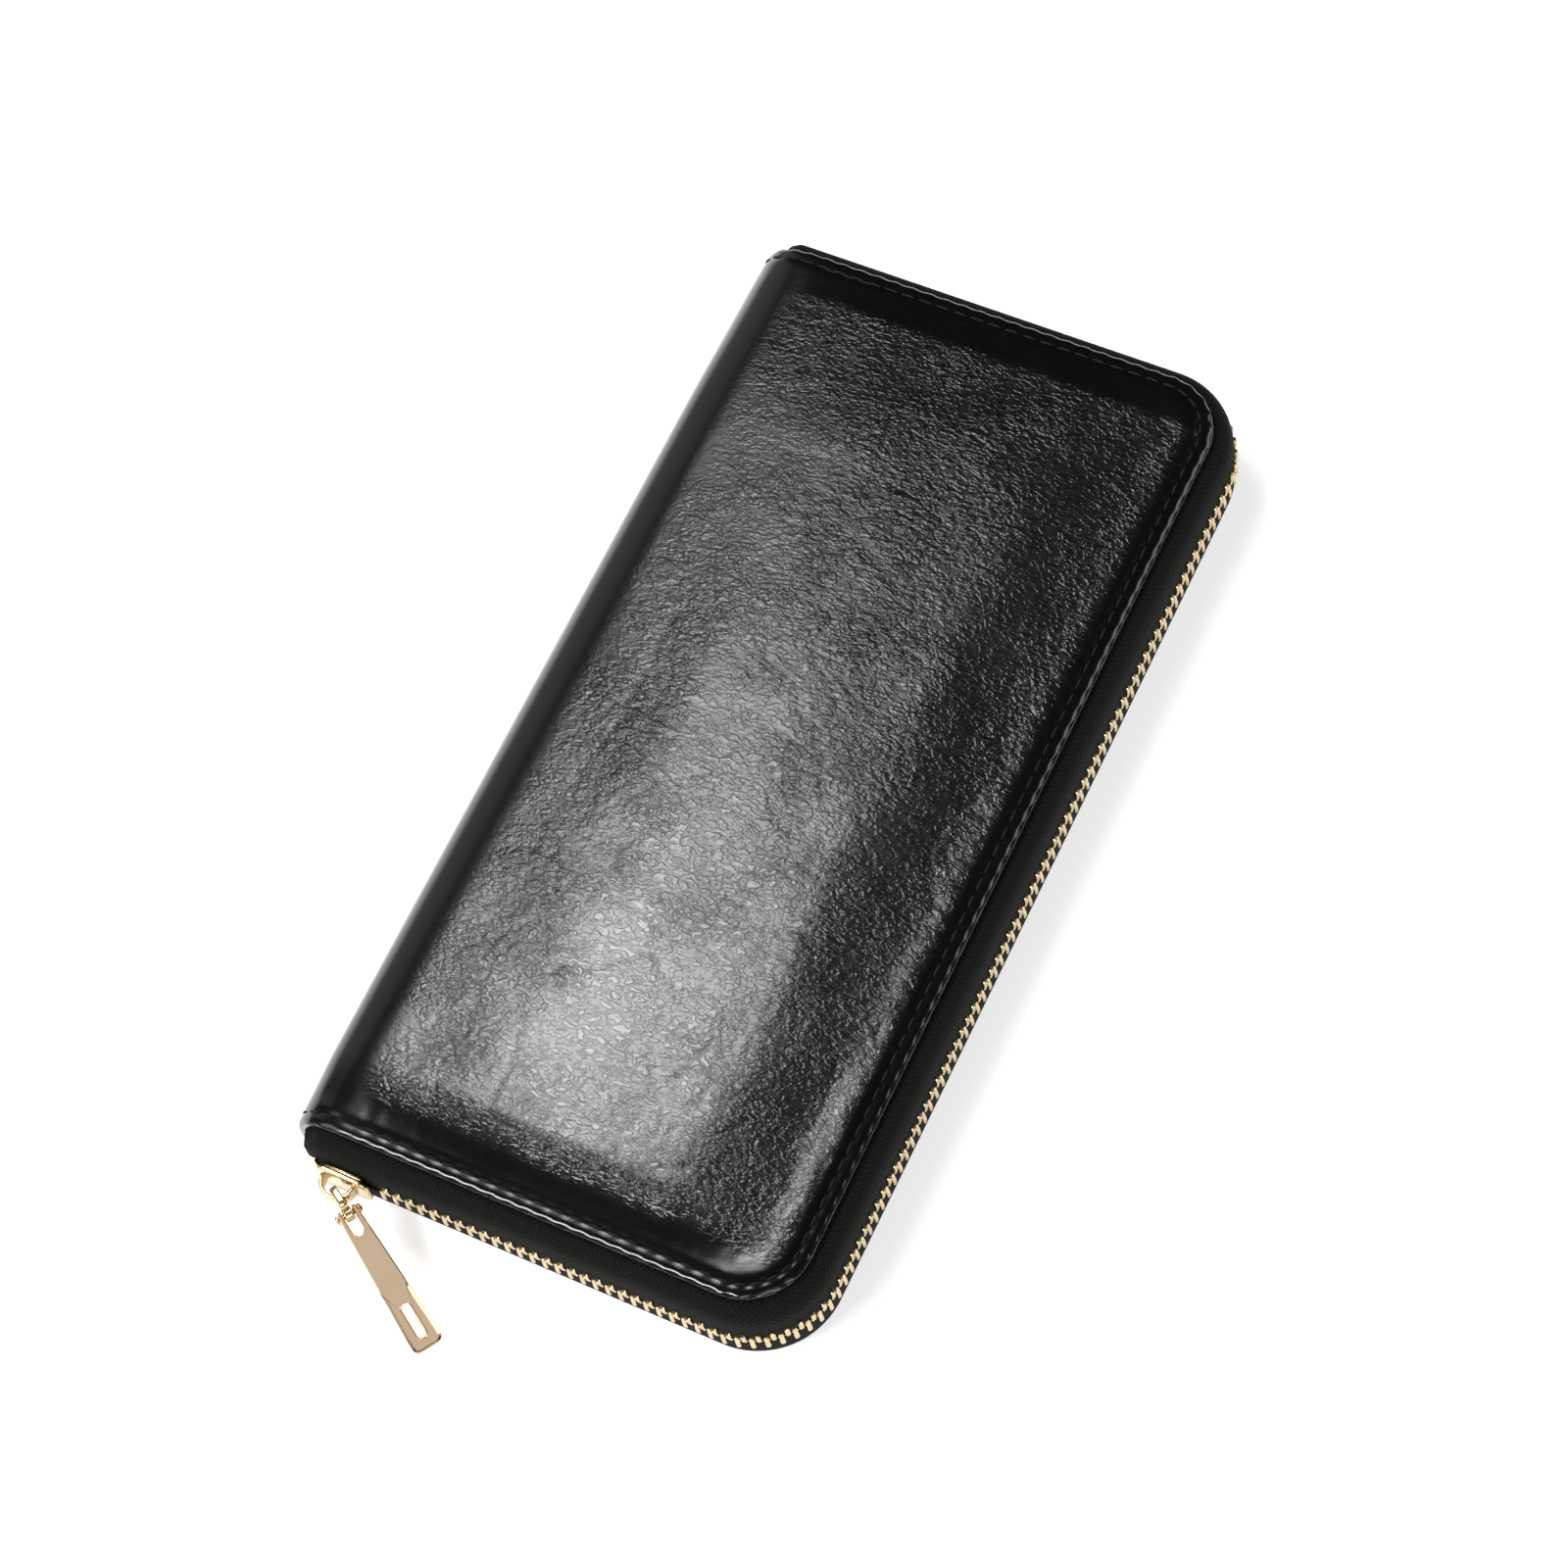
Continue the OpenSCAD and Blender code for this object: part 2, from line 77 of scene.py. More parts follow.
# ---------- cover leather, front and back ----------
# One hide of waxed black calf over foam, wrapped round the spine and turned in at the edges, where
# the edge is painted. It is built here as two halves that meet along the middle of the spine. The
# grain is pressed by hand, and fades out at the spine and along the stitching.
class Wire:
    """One shader value, with + - * / and a few functions on it. add() puts in any other node."""

    def __init__(self, tree, socket=None):
        self.tree, self.socket = tree, socket

    def add(self, kind, settings=(), values=(), out=0):
        """A node of that kind: its settings first, then its sockets from numbers or wires."""
        node = self.tree.nodes.new(kind)
        for key, value in dict(settings).items():
            setattr(node, key, value)
        for key, value in dict(values).items():
            if isinstance(value, Wire):
                self.tree.links.new(value.socket, node.inputs[key])
            else:
                node.inputs[key].default_value = value
        return Wire(self.tree, node.outputs[out])

    def maths(self, operation, *values):
        return self.add("ShaderNodeMath", {"operation": operation}, dict(enumerate(values)))

    def vector(self, operation, *values):
        return self.add("ShaderNodeVectorMath", {"operation": operation}, dict(enumerate(values)))

    def __add__(self, other): return self.maths("ADD", self, other)
    def __radd__(self, other): return self.maths("ADD", other, self)
    def __sub__(self, other): return self.maths("SUBTRACT", self, other)
    def __rsub__(self, other): return self.maths("SUBTRACT", other, self)
    def __mul__(self, other): return self.maths("MULTIPLY", self, other)
    def __rmul__(self, other): return self.maths("MULTIPLY", other, self)
    def __truediv__(self, other): return self.maths("DIVIDE", self, other)
    def __rtruediv__(self, other): return self.maths("DIVIDE", other, self)

    def ramp(self, low, high):
        """0 below low, 1 above high, and a smooth step between them."""
        return self.add("ShaderNodeMapRange", {"interpolation_type": "SMOOTHSTEP"},
                        {"Value": self, "From Min": low, "From Max": high})

    def tint(self, first, second):
        """A colour from first where this is 0 to second where it is 1."""
        return self.add("ShaderNodeMix", {"data_type": "RGBA"}, {0: self, 6: first, 7: second}, out=2)

    def noise(self, place, scale, detail=3.0, rough=0.5):
        return self.add("ShaderNodeTexNoise", (), {"Vector": place, "Scale": scale, "Detail": detail,
                                                   "Roughness": rough})


def material(name, paint, **constants):
    """A Principled material. paint(wire, place) returns what varies over it, by socket name; a
    "height" in metres becomes its bump."""
    made = bpy.data.materials.new(name)
    made.use_nodes = True
    tree = made.node_tree
    shader = tree.nodes["Principled BSDF"]
    for key, value in constants.items():
        shader.inputs[key.replace("_", " ")].default_value = value
    wire = Wire(tree)
    varied = paint(wire, wire.add("ShaderNodeTexCoord", out="Object"))
    height = varied.pop("height", None)
    if height is not None:
        varied["Normal"] = wire.add("ShaderNodeBump", (), {"Distance": 1.0, "Height": height})
    for key, value in varied.items():
        tree.links.new(value.socket, shader.inputs[key])
    return made


def build(name, points, faces, finish, smooth=True, **marks):
    """An object from an array of points and a list of arrays of faces; marks are point attributes."""
    mesh = bpy.data.meshes.new(name)
    counts = np.concatenate([np.full(len(f), f.shape[1]) for f in faces])
    corners = np.concatenate([f.ravel() for f in faces]).astype(np.int32)
    mesh.vertices.add(len(points))
    mesh.vertices.foreach_set("co", np.ascontiguousarray(points, np.float32).ravel())
    mesh.loops.add(len(corners))
    mesh.loops.foreach_set("vertex_index", corners)
    mesh.polygons.add(len(counts))
    mesh.polygons.foreach_set("loop_start", (np.cumsum(counts) - counts).astype(np.int32))
    mesh.update(calc_edges=True)
    mesh.validate()
    mesh.polygons.foreach_set("use_smooth", np.full(len(mesh.polygons), smooth))
    for mark, values in marks.items():
        mesh.attributes.new(mark, "FLOAT", "POINT").data.foreach_set("value", values.astype(np.float32))
    mesh.materials.append(finish)
    made = bpy.data.objects.new(name, mesh)
    bpy.context.scene.collection.objects.link(made)
    return made


def weave(numbers):
    """The quads of a grid whose vertices have these numbers, a whole array at once."""
    return np.stack([numbers[:-1, :-1], numbers[1:, :-1], numbers[1:, 1:], numbers[:-1, 1:]], -1).reshape(-1, 4)


def ease(t):
    """Smooth step: 3t^2 - 2t^3 between 0 and 1."""
    t = np.clip(t, 0, 1)
    return t * t * (3 - 2 * t)


cover_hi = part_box("front_leather")[1]
edge_x, half_l, plateau_z = cover_hi.x, cover_hi.y, cover_hi.z
corner_r = 0.012
corner_x, corner_y = edge_x - corner_r, half_l - corner_r
border_z = plateau_z - 0.001
under_z, deep_z = border_z - 0.0016, border_z - 0.0021
spine_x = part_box("spine_leather")[0].x
mid_z = plateau_z / 2
flat_x = spine_x + 0.0125
stitch_in, stitch_pitch = 0.0023, 0.0035


def inwards(x, y):
    """Distance in from the cover's edge: corner_r - |(x, |y|) - corner centre| inside a corner's
    quarter, else the smaller of the distances to the two straight edges."""
    p, q = x - corner_x, np.abs(y) - corner_y
    return np.where((p > 0) & (q > 0), corner_r - np.hypot(p, q), np.minimum(edge_x - x, half_l - np.abs(y)))


def along_edge(x, y):
    """Length along the edge from the middle of the zip side: |y|, then the corner's arc, then back
    towards the spine."""
    p, q = x - corner_x, np.abs(y) - corner_y
    arc = corner_y + corner_r * np.arctan2(np.maximum(q, 0), np.maximum(p, 1e-9))
    end = corner_y + corner_r * math.pi / 2 - p
    side = np.where(edge_x - x < half_l - np.abs(y), np.abs(y), end)
    return np.where((p > 0) & (q > 0), arc, side)


def swell(x, y, low, high, seed, waves=40):
    """A smooth random field of unit spread: the sum of cosines of chance direction and phase, their
    wavelengths between low and high."""
    chance = np.random.default_rng(seed)
    turn, phase = chance.uniform(0, 2 * math.pi, (2, waves))
    k = 2 * math.pi / chance.uniform(low, high, waves)
    total = np.zeros(np.broadcast(x, y).shape)
    for a, p, w in zip(turn, phase, k):
        total += np.cos(w * (x * math.cos(a) + y * math.sin(a)) + p)
    return total * math.sqrt(2 / waves)


def cover_rise(x, y):
    """Height of the leather over the border level: edge rounding, stitch groove and puckers, rolled
    ridge, padded panel, crown, and creases where a random field passes through zero."""
    d = inwards(x, y)
    s = along_edge(x, y)
    beat = np.cos(2 * math.pi * s / stitch_pitch)
    zip_side = ease((x - (edge_x - 0.016)) / 0.01)
    z = -0.00060 * (1 - np.sqrt(np.clip(1 - (1 - np.clip((d + 0.00014 * beat) / 0.0011, 0, 1)) ** 2, 0, 1)))
    z -= 0.09 * np.clip(0.0042 - d, 0, 1) * ease((0.0042 - d) / 0.0016)
    z -= np.exp(-((d - stitch_in) / 0.00060) ** 2) * (0.00008 - 0.00005 * beat)
    z += 0.00018 * zip_side * np.exp(-((d - 0.0056) / 0.0030) ** 2)
    wrinkle = zip_side * swell(x * 0.35, y, 0.0020, 0.0050, 5) + (1 - zip_side) * swell(x, y * 0.5, 0.0022, 0.0060, 6)
    z += 0.000016 * wrinkle * np.exp(-((d - 0.0058) / 0.0030) ** 2)
    rise_x = ease((edge_x - x - 0.0062) / 0.021) * (0.40 + 0.60 * ease((x - spine_x - 0.0060) / 0.034))
    from_end = half_l - np.abs(y)
    rise_y = np.where(y < 0, ease((from_end - 0.0022) / 0.0125),
                      0.15 * ease((from_end - 0.0022) / 0.008) + 0.85 * ease((from_end - 0.003) / 0.034))
    z += 0.0017 * rise_x * rise_y
    bulge = np.clip(1 - ((x - 0.001) / 0.047) ** 2, 0, 1) * np.clip(1 - (y / half_l) ** 2, 0, 1)
    z += 0.0016 * bulge ** 0.8
    panel = panel_mask(x, y)
    long_field = swell(x, y * 0.75, 0.012, 0.034, 11)
    short_field = swell(x, y * 0.85, 0.0045, 0.0100, 12)
    z += panel * (0.00003 * swell(x, y, 0.010, 0.026, 13)
                  - 0.00007 * np.exp(-(long_field / 0.07) ** 2)
                  - 0.00004 * np.exp(-(short_field / 0.20) ** 2))
    return z


def panel_mask(x, y):
    """1 on the grained panel, falling to 0 at the spine, the borders and the smooth far end."""
    return ease((x - spine_x - 0.0075) / 0.012) * ease((edge_x - x - 0.0030) / 0.004) \
        * ease((y + half_l - 0.0060) / 0.006) * ease((half_l - y - 0.0075) / 0.003)


def spine_path(t):
    """Half of the spine's outline, t from 0 at its middle to 1 where the cover is flat: a quarter of
    a superellipse, x = flat_x - a cos^0.8, z = mid_z + b sin^0.8 of t times a quarter turn."""
    turn = t * math.pi / 2
    return (flat_x - (flat_x - spine_x) * np.cos(turn).clip(0) ** 0.8,
            mid_z + (border_z - mid_z) * np.sin(turn).clip(0) ** 0.8)


def edge_steps(fine, total, coarse):
    """Grid positions from an edge inwards: a few close steps for the rounding and the stitch groove,
    then even ones up to total."""
    near = np.concatenate([[0, 0.00006, 0.00018, 0.00036, 0.0006], np.arange(0.0009, 0.012, fine)])
    rest = np.linspace(0.012, total, int((total - 0.012) / coarse) + 1)
    return np.concatenate([near[near < 0.0119], rest])


def leather_surface(spine_t, x_lines, y_lines):
    """The outside of the front half: spine outline, then flat lines over the cover, against lines
    along Y. Near the zip corners the square grid is drawn onto the rounded corner with
    p' = p sqrt(1 - q^2 / 2r^2), q' = q sqrt(1 - p^2 / 2r^2)."""
    sx, sz = spine_path(spine_t)
    x = np.concatenate([sx, x_lines])[:, None] + 0 * y_lines[None]
    z = np.concatenate([sz, np.full(len(x_lines), border_z)])[:, None] + 0 * y_lines[None]
    y = y_lines[None] + 0 * x
    p, q = x - corner_x, np.abs(y) - corner_y
    bent = (p > 0) & (q > 0)
    p2 = p * np.sqrt(np.clip(1 - q * q / (2 * corner_r ** 2), 0, 1))
    q2 = q * np.sqrt(np.clip(1 - p * p / (2 * corner_r ** 2), 0, 1))
    x, y = np.where(bent, corner_x + p2, x), np.where(bent, np.sign(y) * (corner_y + q2), y)
    # out: how the surface faces in the X-Z plane, so that the rise is added square to the spine
    turn = np.concatenate([spine_t, np.ones(len(x_lines))]) * math.pi / 2
    out_x, out_z = -np.cos(turn)[:, None], np.sin(turn)[:, None]
    rise = cover_rise(x, y) * ease(out_z * 1.6 - 0.2)
    end = np.clip((half_l - np.abs(y)) / 0.0016, 0, 1)
    rise = rise - (1 - ease(out_z * 1.6 - 0.2)) * 0.0009 * (1 - np.sqrt(np.clip(1 - (1 - end) ** 2, 0, 1)))
    return x + out_x * rise, y, z + out_z * rise


def paint_leather(wire, place):
    panel = wire.add("ShaderNodeAttribute", {"attribute_name": "panel"}, out="Fac")
    rim = wire.add("ShaderNodeAttribute", {"attribute_name": "rim"}, out="Fac")
    stretch = wire.add("ShaderNodeMapping", (), {"Vector": place, "Scale": (0.68, 1.15, 1.0),
                                                 "Rotation": (0, 0, -0.30)})
    sway = wire.add("ShaderNodeTexNoise", (), {"Vector": stretch, "Scale": 260.0, "Detail": 2.0}, out="Color")
    moved = wire.vector("ADD", stretch, wire.add("ShaderNodeVectorMath", {"operation": "SCALE"},
                                                 {0: sway, "Scale": 0.0013}))
    cells = wire.add("ShaderNodeTexVoronoi", {"feature": "SMOOTH_F1"}, {"Vector": moved, "Scale": 1050.0},
                     out="Distance")
    crease = wire.maths("ABSOLUTE", wire.noise(moved, 760.0, 2.0, 0.5) - 0.5).ramp(0.0, 0.16)
    fold = wire.maths("ABSOLUTE", wire.noise(moved, 210.0, 2.0, 0.45) - 0.5).ramp(0.0, 0.045)
    fine = wire.noise(place, 2600.0, 4.0, 0.6)
    soft = wire.noise(stretch, 900.0, 3.0, 0.6)
    depth = wire.noise(place, 90.0, 2.0, 0.5).ramp(0.38, 0.66)
    height = panel * (crease * (0.00005 + 0.00005 * depth) - cells * 0.00003 + fold * depth * 0.00009
                      + soft * 0.00004) + fine * 0.000007 + soft * 0.00001
    worn = wire.noise(place, 35.0, 3.0, 0.6)
    # the colour is darker along the crease lines, where the grain dips: painted shade in the creases, over a random
    # tone from worn
    colour = (crease * 0.6 + worn * 0.4).tint((0.0006, 0.0006, 0.0007, 1), (0.0020, 0.0020, 0.0022, 1))
    colour = wire.add("ShaderNodeMix", {"data_type": "RGBA"}, {0: rim, 6: colour, 7: (0.006, 0.006, 0.0066, 1)}, out=2)
    at_spine = 1 - wire.add("ShaderNodeSeparateXYZ", (), {"Vector": place}, out="X").ramp(-0.0420, -0.0300)
    rough = 0.14 + panel * (0.06 + 0.07 * worn + 0.04 * (1 - crease)) + 0.08 * at_spine + 0.03 * worn
    return {"Base Color": colour, "Roughness": rough, "Coat Weight": 0.15 + 0.25 * worn * panel, "height": height}


leather = material("waxed_black_leather", paint_leather, Coat_Roughness=0.15, Specular_IOR_Level=0.5)

near_y = half_l - edge_steps(0.0005, half_l, 0.00078)
y_lines = np.concatenate([-near_y, near_y[::-1][1:]])
x_lines = (edge_x - edge_steps(0.0005, edge_x - flat_x - 0.0006, 0.00072))[::-1]
spine_t = np.concatenate([[0, 0.0001], np.linspace(0.03, 1, 29) ** 1.1])
outer = np.stack(leather_surface(spine_t, x_lines, y_lines), -1)
columns, rows = outer.shape[:2]
flat_part = np.arange(columns) >= len(spine_t)
# the inside: parallel to the spine's outline, then level over the board
inner = outer.copy()
turn = np.concatenate([spine_t, np.ones(len(x_lines))]) * math.pi / 2
inner[..., 0] += 0.0012 * np.cos(turn)[:, None]
under = deep_z + (under_z - deep_z) * ease((inwards(outer[..., 0], outer[..., 1]) - 0.006) / 0.002)
inner[..., 2] = np.where(flat_part[:, None], under, np.minimum(outer[..., 2] - 0.0012 * np.sin(turn)[:, None], under))
inner[..., 2] = np.maximum(inner[..., 2], mid_z)
numbers = np.arange(columns * rows).reshape(columns, rows)
twin = numbers + columns * rows
loop = np.concatenate([numbers[:, 0], numbers[-1, 1:], numbers[-2::-1, -1], numbers[0, -2:0:-1]])
loop = np.append(loop, loop[0])
# the painted edge: three rings evenly spaced between the outside and the inside
rim_points, rings = [], [loop]
flat_outer, flat_inner = outer.reshape(-1, 3), inner.reshape(-1, 3)
for k, share in enumerate((0.2, 0.5, 0.8)):
    a, b = flat_outer[loop[:-1]], flat_inner[loop[:-1]]
    rim_points.append(a + (b - a) * share)
    ring = 2 * columns * rows + k * (len(loop) - 1) + np.arange(len(loop) - 1)
    rings.append(np.append(ring, ring[0]))
rings.append(loop + columns * rows)
points = np.concatenate([flat_outer, flat_inner] + rim_points)
faces = [weave(numbers), weave(twin)[:, ::-1], weave(np.array(rings))]
depth_in = inwards(points[:, 0], points[:, 1])
panel = panel_mask(points[:, 0], points[:, 1])
panel[columns * rows:] = 0
rim = 1 - ease(depth_in / 0.0008)
rim[:columns * rows][np.repeat(~flat_part, rows)] *= 0.4
mirror = np.array([1, 1, -1])

front = build("front_cover_leather", points, faces, leather, panel=panel, rim=rim)
lower = points * mirror + (0, 0, 2 * mid_z)
# its own weight flattens the back panel on what it rests on: the rise ends at 0.95 mm
low_border = 2 * mid_z - border_z
lower[:, 2] = np.where(lower[:, 2] < low_border, low_border - 0.00095 * np.tanh((low_border - lower[:, 2]) / 0.00095), lower[:, 2])
back_cover = build("back_cover_leather", lower, [f[:, ::-1] for f in faces], leather, panel=panel, rim=rim)
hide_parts("front_leather", "front_pad", "spine_leather")
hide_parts("back_leather", "back_pad")
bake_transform(front)
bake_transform(back_cover)


# ---------- edge stitching ----------
# Waxed black polyester thread, lock-stitched 2.3 mm in from the edge through leather, tape and
# lining, sinking into each needle hole. The last three stitches at the spine are sewn twice.
def stitch_line(t, inset, side):
    """Points and outward directions on the leather at length t from the middle of the zip side, inset
    from the edge: straight, arc, straight, then over the spine's outline."""
    arc_end = corner_y + corner_r * math.pi / 2
    flat_end = arc_end + corner_x - flat_x
    a = np.clip((t - corner_y) / corner_r, 0, math.pi / 2)
    x = corner_x + (corner_r - inset) * np.cos(a) - np.clip(t - arc_end, 0, corner_x - flat_x)
    y = np.minimum(t, corner_y) + (corner_r - inset) * np.sin(a)
    fine_t = np.linspace(1, 0, 400)
    fx, fz = spine_path(fine_t)
    run = np.concatenate([[0], np.cumsum(np.hypot(np.diff(fx), np.diff(fz)))])
    over = t > flat_end
    st = np.where(over, np.interp(t - flat_end, run, fine_t), 1)
    sx, sz = spine_path(st)
    x = np.where(over, sx, x)
    y = y * side
    rise = cover_rise(x, y) * ease(np.sin(st * math.pi / 2) * 1.6 - 0.2)
    out = np.stack([-np.cos(st * math.pi / 2), 0 * st, np.sin(st * math.pi / 2)], -1)
    return np.stack([x, y, np.where(over, sz, border_z)], -1) + out * rise[..., None], out


def thread_row(first, last, side, inset, shift):
    """Stitches first..last of one side: each a six-sided tube of seven rings along the line, raised by
    cos(u) in the middle and sunk at both ends."""
    u = np.linspace(-1, 1, 7)
    t = (np.arange(first, last)[:, None] + shift + 0.42 * u[None]) * stitch_pitch
    line, out = stitch_line(t, inset, side)
    line = line + out * (0.00024 * np.cos(u * 1.25) - 0.00015)[None, :, None]
    run = np.gradient(line, axis=1)
    run /= np.linalg.norm(run, axis=-1, keepdims=True)
    across = np.cross(out, run)
    across /= np.linalg.norm(across, axis=-1, keepdims=True)
    thick = 0.00020 * np.array([0.35, 0.8, 1, 1, 1, 0.8, 0.35])[None, :, None, None]
    ring = np.arange(6) * math.pi / 3
    return line[:, :, None] + thick * (across[:, :, None] * np.cos(ring)[:, None]
                                       + np.cross(run, across)[:, :, None] * np.sin(ring)[:, None])


def paint_thread(wire, place):
    twist = wire.add("ShaderNodeTexWave", {"bands_direction": "DIAGONAL"}, {"Vector": place, "Scale": 900.0})
    return {"Base Color": twist.tint((0.002, 0.002, 0.0024, 1), (0.010, 0.010, 0.011, 1)),
            "Roughness": 0.58 + 0.1 * twist, "height": twist * 0.00004}


thread = material("waxed_black_thread", paint_thread, Specular_IOR_Level=0.22)
half_run = corner_y + corner_r * math.pi / 2 + corner_x - flat_x
last_stitch = int((half_run + 0.0165) / stitch_pitch)
tubes = np.concatenate([thread_row(0 if side > 0 else 1, last_stitch, side, stitch_in, 0) for side in (1, -1)]
                       + [thread_row(last_stitch - 8, last_stitch - 5, side, stitch_in + 0.0003, 0.5)
                          for side in (1, -1)])
numbers = np.arange(len(tubes) * 42).reshape(len(tubes), 7, 6)
wrapped = np.concatenate([numbers, numbers[:, :, :1]], 2)
sides = np.stack([wrapped[:, :-1, :-1], wrapped[:, 1:, :-1], wrapped[:, 1:, 1:], wrapped[:, :-1, 1:]], -1)
thread_faces = [sides.reshape(-1, 4), numbers[:, 0], numbers[:, -1, ::-1]]
thread_points = tubes.reshape(-1, 3)
front_thread = build("front_stitching", thread_points, thread_faces, thread)
back_thread = build("back_stitching", thread_points * mirror + (0, 0, 2 * mid_z),
                    [f[:, ::-1] for f in thread_faces], thread)
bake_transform(front_thread)
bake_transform(back_thread)


# ---------- main zip tapes ----------
# Black polyester tape in a herringbone weave, 0.5 mm thick, sewn under each cover's edge and turned
# up to the teeth, with a corded rim that the teeth clamp.
def zip_points(out, start, steps=40):
    """The line round the three open sides at distance out from the edge, from x = start at -Y round to
    the same at +Y, with its outward directions and the length along it."""
    a = np.linspace(-math.pi / 2, 0, steps)
    line_x = np.concatenate([np.linspace(start, corner_x, 70)[:-1], corner_x + 0 * a, [corner_x] * 90])
    turn = np.concatenate([np.full(69, -math.pi / 2), a, np.zeros(90)])
    line_y = np.concatenate([np.full(69 + steps, -corner_y), np.linspace(-corner_y, 0, 91)[1:]])
    px = line_x + (corner_r + out) * np.cos(turn)
    py = line_y + (corner_r + out) * np.sin(turn)
    px, py, turn = (np.concatenate([px, px[-2::-1]]), np.concatenate([py, -py[-2::-1]]),
                    np.concatenate([turn, -turn[-2::-1]]))
    run = np.concatenate([[0], np.cumsum(np.hypot(np.diff(px), np.diff(py)))])
    return px, py, turn, run


tape_lo, tape_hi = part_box("lower_zip_tape")
flat_level, tape_top = tape_lo.z + 0.00075, tape_hi.z
chain_out = tape_hi.x - 0.00025 - edge_x
u = np.linspace(0, 1, 12)
curve = [(-0.0005, flat_level), (0.0020, flat_level), (chain_out, 0.0050), (chain_out, 0.0085)]
weights = np.stack([(1 - u) ** 3, 3 * u * (1 - u) ** 2, 3 * u * u * (1 - u), u ** 3], -1)
bow = weights @ np.array(curve)
centre = np.concatenate([[(-0.007, flat_level), (-0.003, flat_level)], bow,
                         [(chain_out, 0.0100), (chain_out, tape_top - 0.0006), (chain_out, tape_top)]])
run_in = np.gradient(centre, axis=0)
run_in /= np.linalg.norm(run_in, axis=1, keepdims=True)
half_thick = np.full(len(centre), 0.00025)[:, None]
half_thick[-2:] = 0.00034
profile = np.concatenate([centre + half_thick * run_in[:, ::-1] * (1, -1),
                          (centre - half_thick * run_in[:, ::-1] * (1, -1))[::-1]])
across_len = np.concatenate([[0], np.cumsum(np.hypot(*np.diff(profile, axis=0).T))])
px, py, turn, run = zip_points(0, tape_lo.x - 0.0028)
# both ends are rounded in towards the spine: out x sqrt(1 - (1 - s / 3 mm)^2)
from_tip = np.clip(np.minimum(run, run[-1] - run) / 0.003, 0, 1)
stretch_out = np.where(profile[None, :, 0] > 0, np.sqrt(1 - (1 - from_tip[:, None]) ** 2), 1) * profile[None, :, 0]
grid = np.stack([px[:, None] + np.cos(turn)[:, None] * stretch_out, py[:, None] + np.sin(turn)[:, None] * stretch_out,
                 profile[None, :, 1] + 0 * px[:, None]], -1)
# near the cover both tips stop short, where the spine's leather curves in
tip = 1 - ease(np.minimum(run, run[-1] - run) / 0.008)
grid[..., 0] += 0.0030 * tip[:, None] * (1 - ease((profile[:, 1] - flat_level) / 0.005))[None]
numbers = np.arange(grid[..., 0].size).reshape(grid.shape[:2])
closed = np.concatenate([numbers, numbers[:, :1]], 1)
tape_faces = [weave(closed)[:, ::-1], numbers[:1], numbers[-1:, ::-1]]
along_tape = (run[:, None] + 0 * across_len[None]).ravel()
across_tape = (across_len[None] + 0 * run[:, None]).ravel()


def paint_tape(wire, place):
    run = wire.add("ShaderNodeAttribute", {"attribute_name": "run"}, out="Fac")
    across = wire.add("ShaderNodeAttribute", {"attribute_name": "across"}, out="Fac")
    zigzag = wire.maths("PINGPONG", across, 0.0016)
    rib = wire.maths("SINE", (run + zigzag) * (2 * math.pi / 0.0011)) * 0.5 + 0.5
    fuzz = wire.noise(place, 3000.0, 3.0)
    colour = (rib * 0.8 + fuzz * 0.3).tint((0.0009, 0.0011, 0.0008, 1), (0.0055, 0.0060, 0.0050, 1))
    return {"Base Color": colour, "Roughness": 0.75 + 0.15 * fuzz, "height": rib * 0.0001 + fuzz * 0.00005}


tape_cloth = material("black_zip_tape", paint_tape, Specular_IOR_Level=0.12)
lower_tape = build("lower_zip_tape_cloth", grid.reshape(-1, 3), tape_faces, tape_cloth,
                   run=along_tape, across=across_tape)
upper_tape = build("upper_zip_tape_cloth", grid.reshape(-1, 3) * mirror + (0, 0, 2 * mid_z),
                   [f[:, ::-1] for f in tape_faces], tape_cloth, run=along_tape, across=across_tape)
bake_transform(lower_tape)
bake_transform(upper_tape)
for tape, node in ((lower_tape, "lower_zip_tape"), (upper_tape, "upper_zip_tape")):
    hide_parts(node)


# ---------- main zip teeth ----------
# Stamped brass teeth with a pale gold finish, one every 2.45 mm on each tape: two legs clamped on the
# tape's rim and a rounded head that sits between two heads of the other row.
def paint_gold(wire, place):
    patch = wire.noise(place, 240.0, 3.0, 0.6)
    fine = wire.noise(place, 5200.0, 3.0, 0.6)
    return {"Base Color": patch.tint((0.50, 0.38, 0.20, 1), (0.70, 0.56, 0.34, 1)),
            "Roughness": 0.13 + 0.12 * patch + 0.04 * fine, "height": fine * 0.000004 + patch * 0.00001}


gold = material("pale_gold_metal", paint_gold, Metallic=1.0)


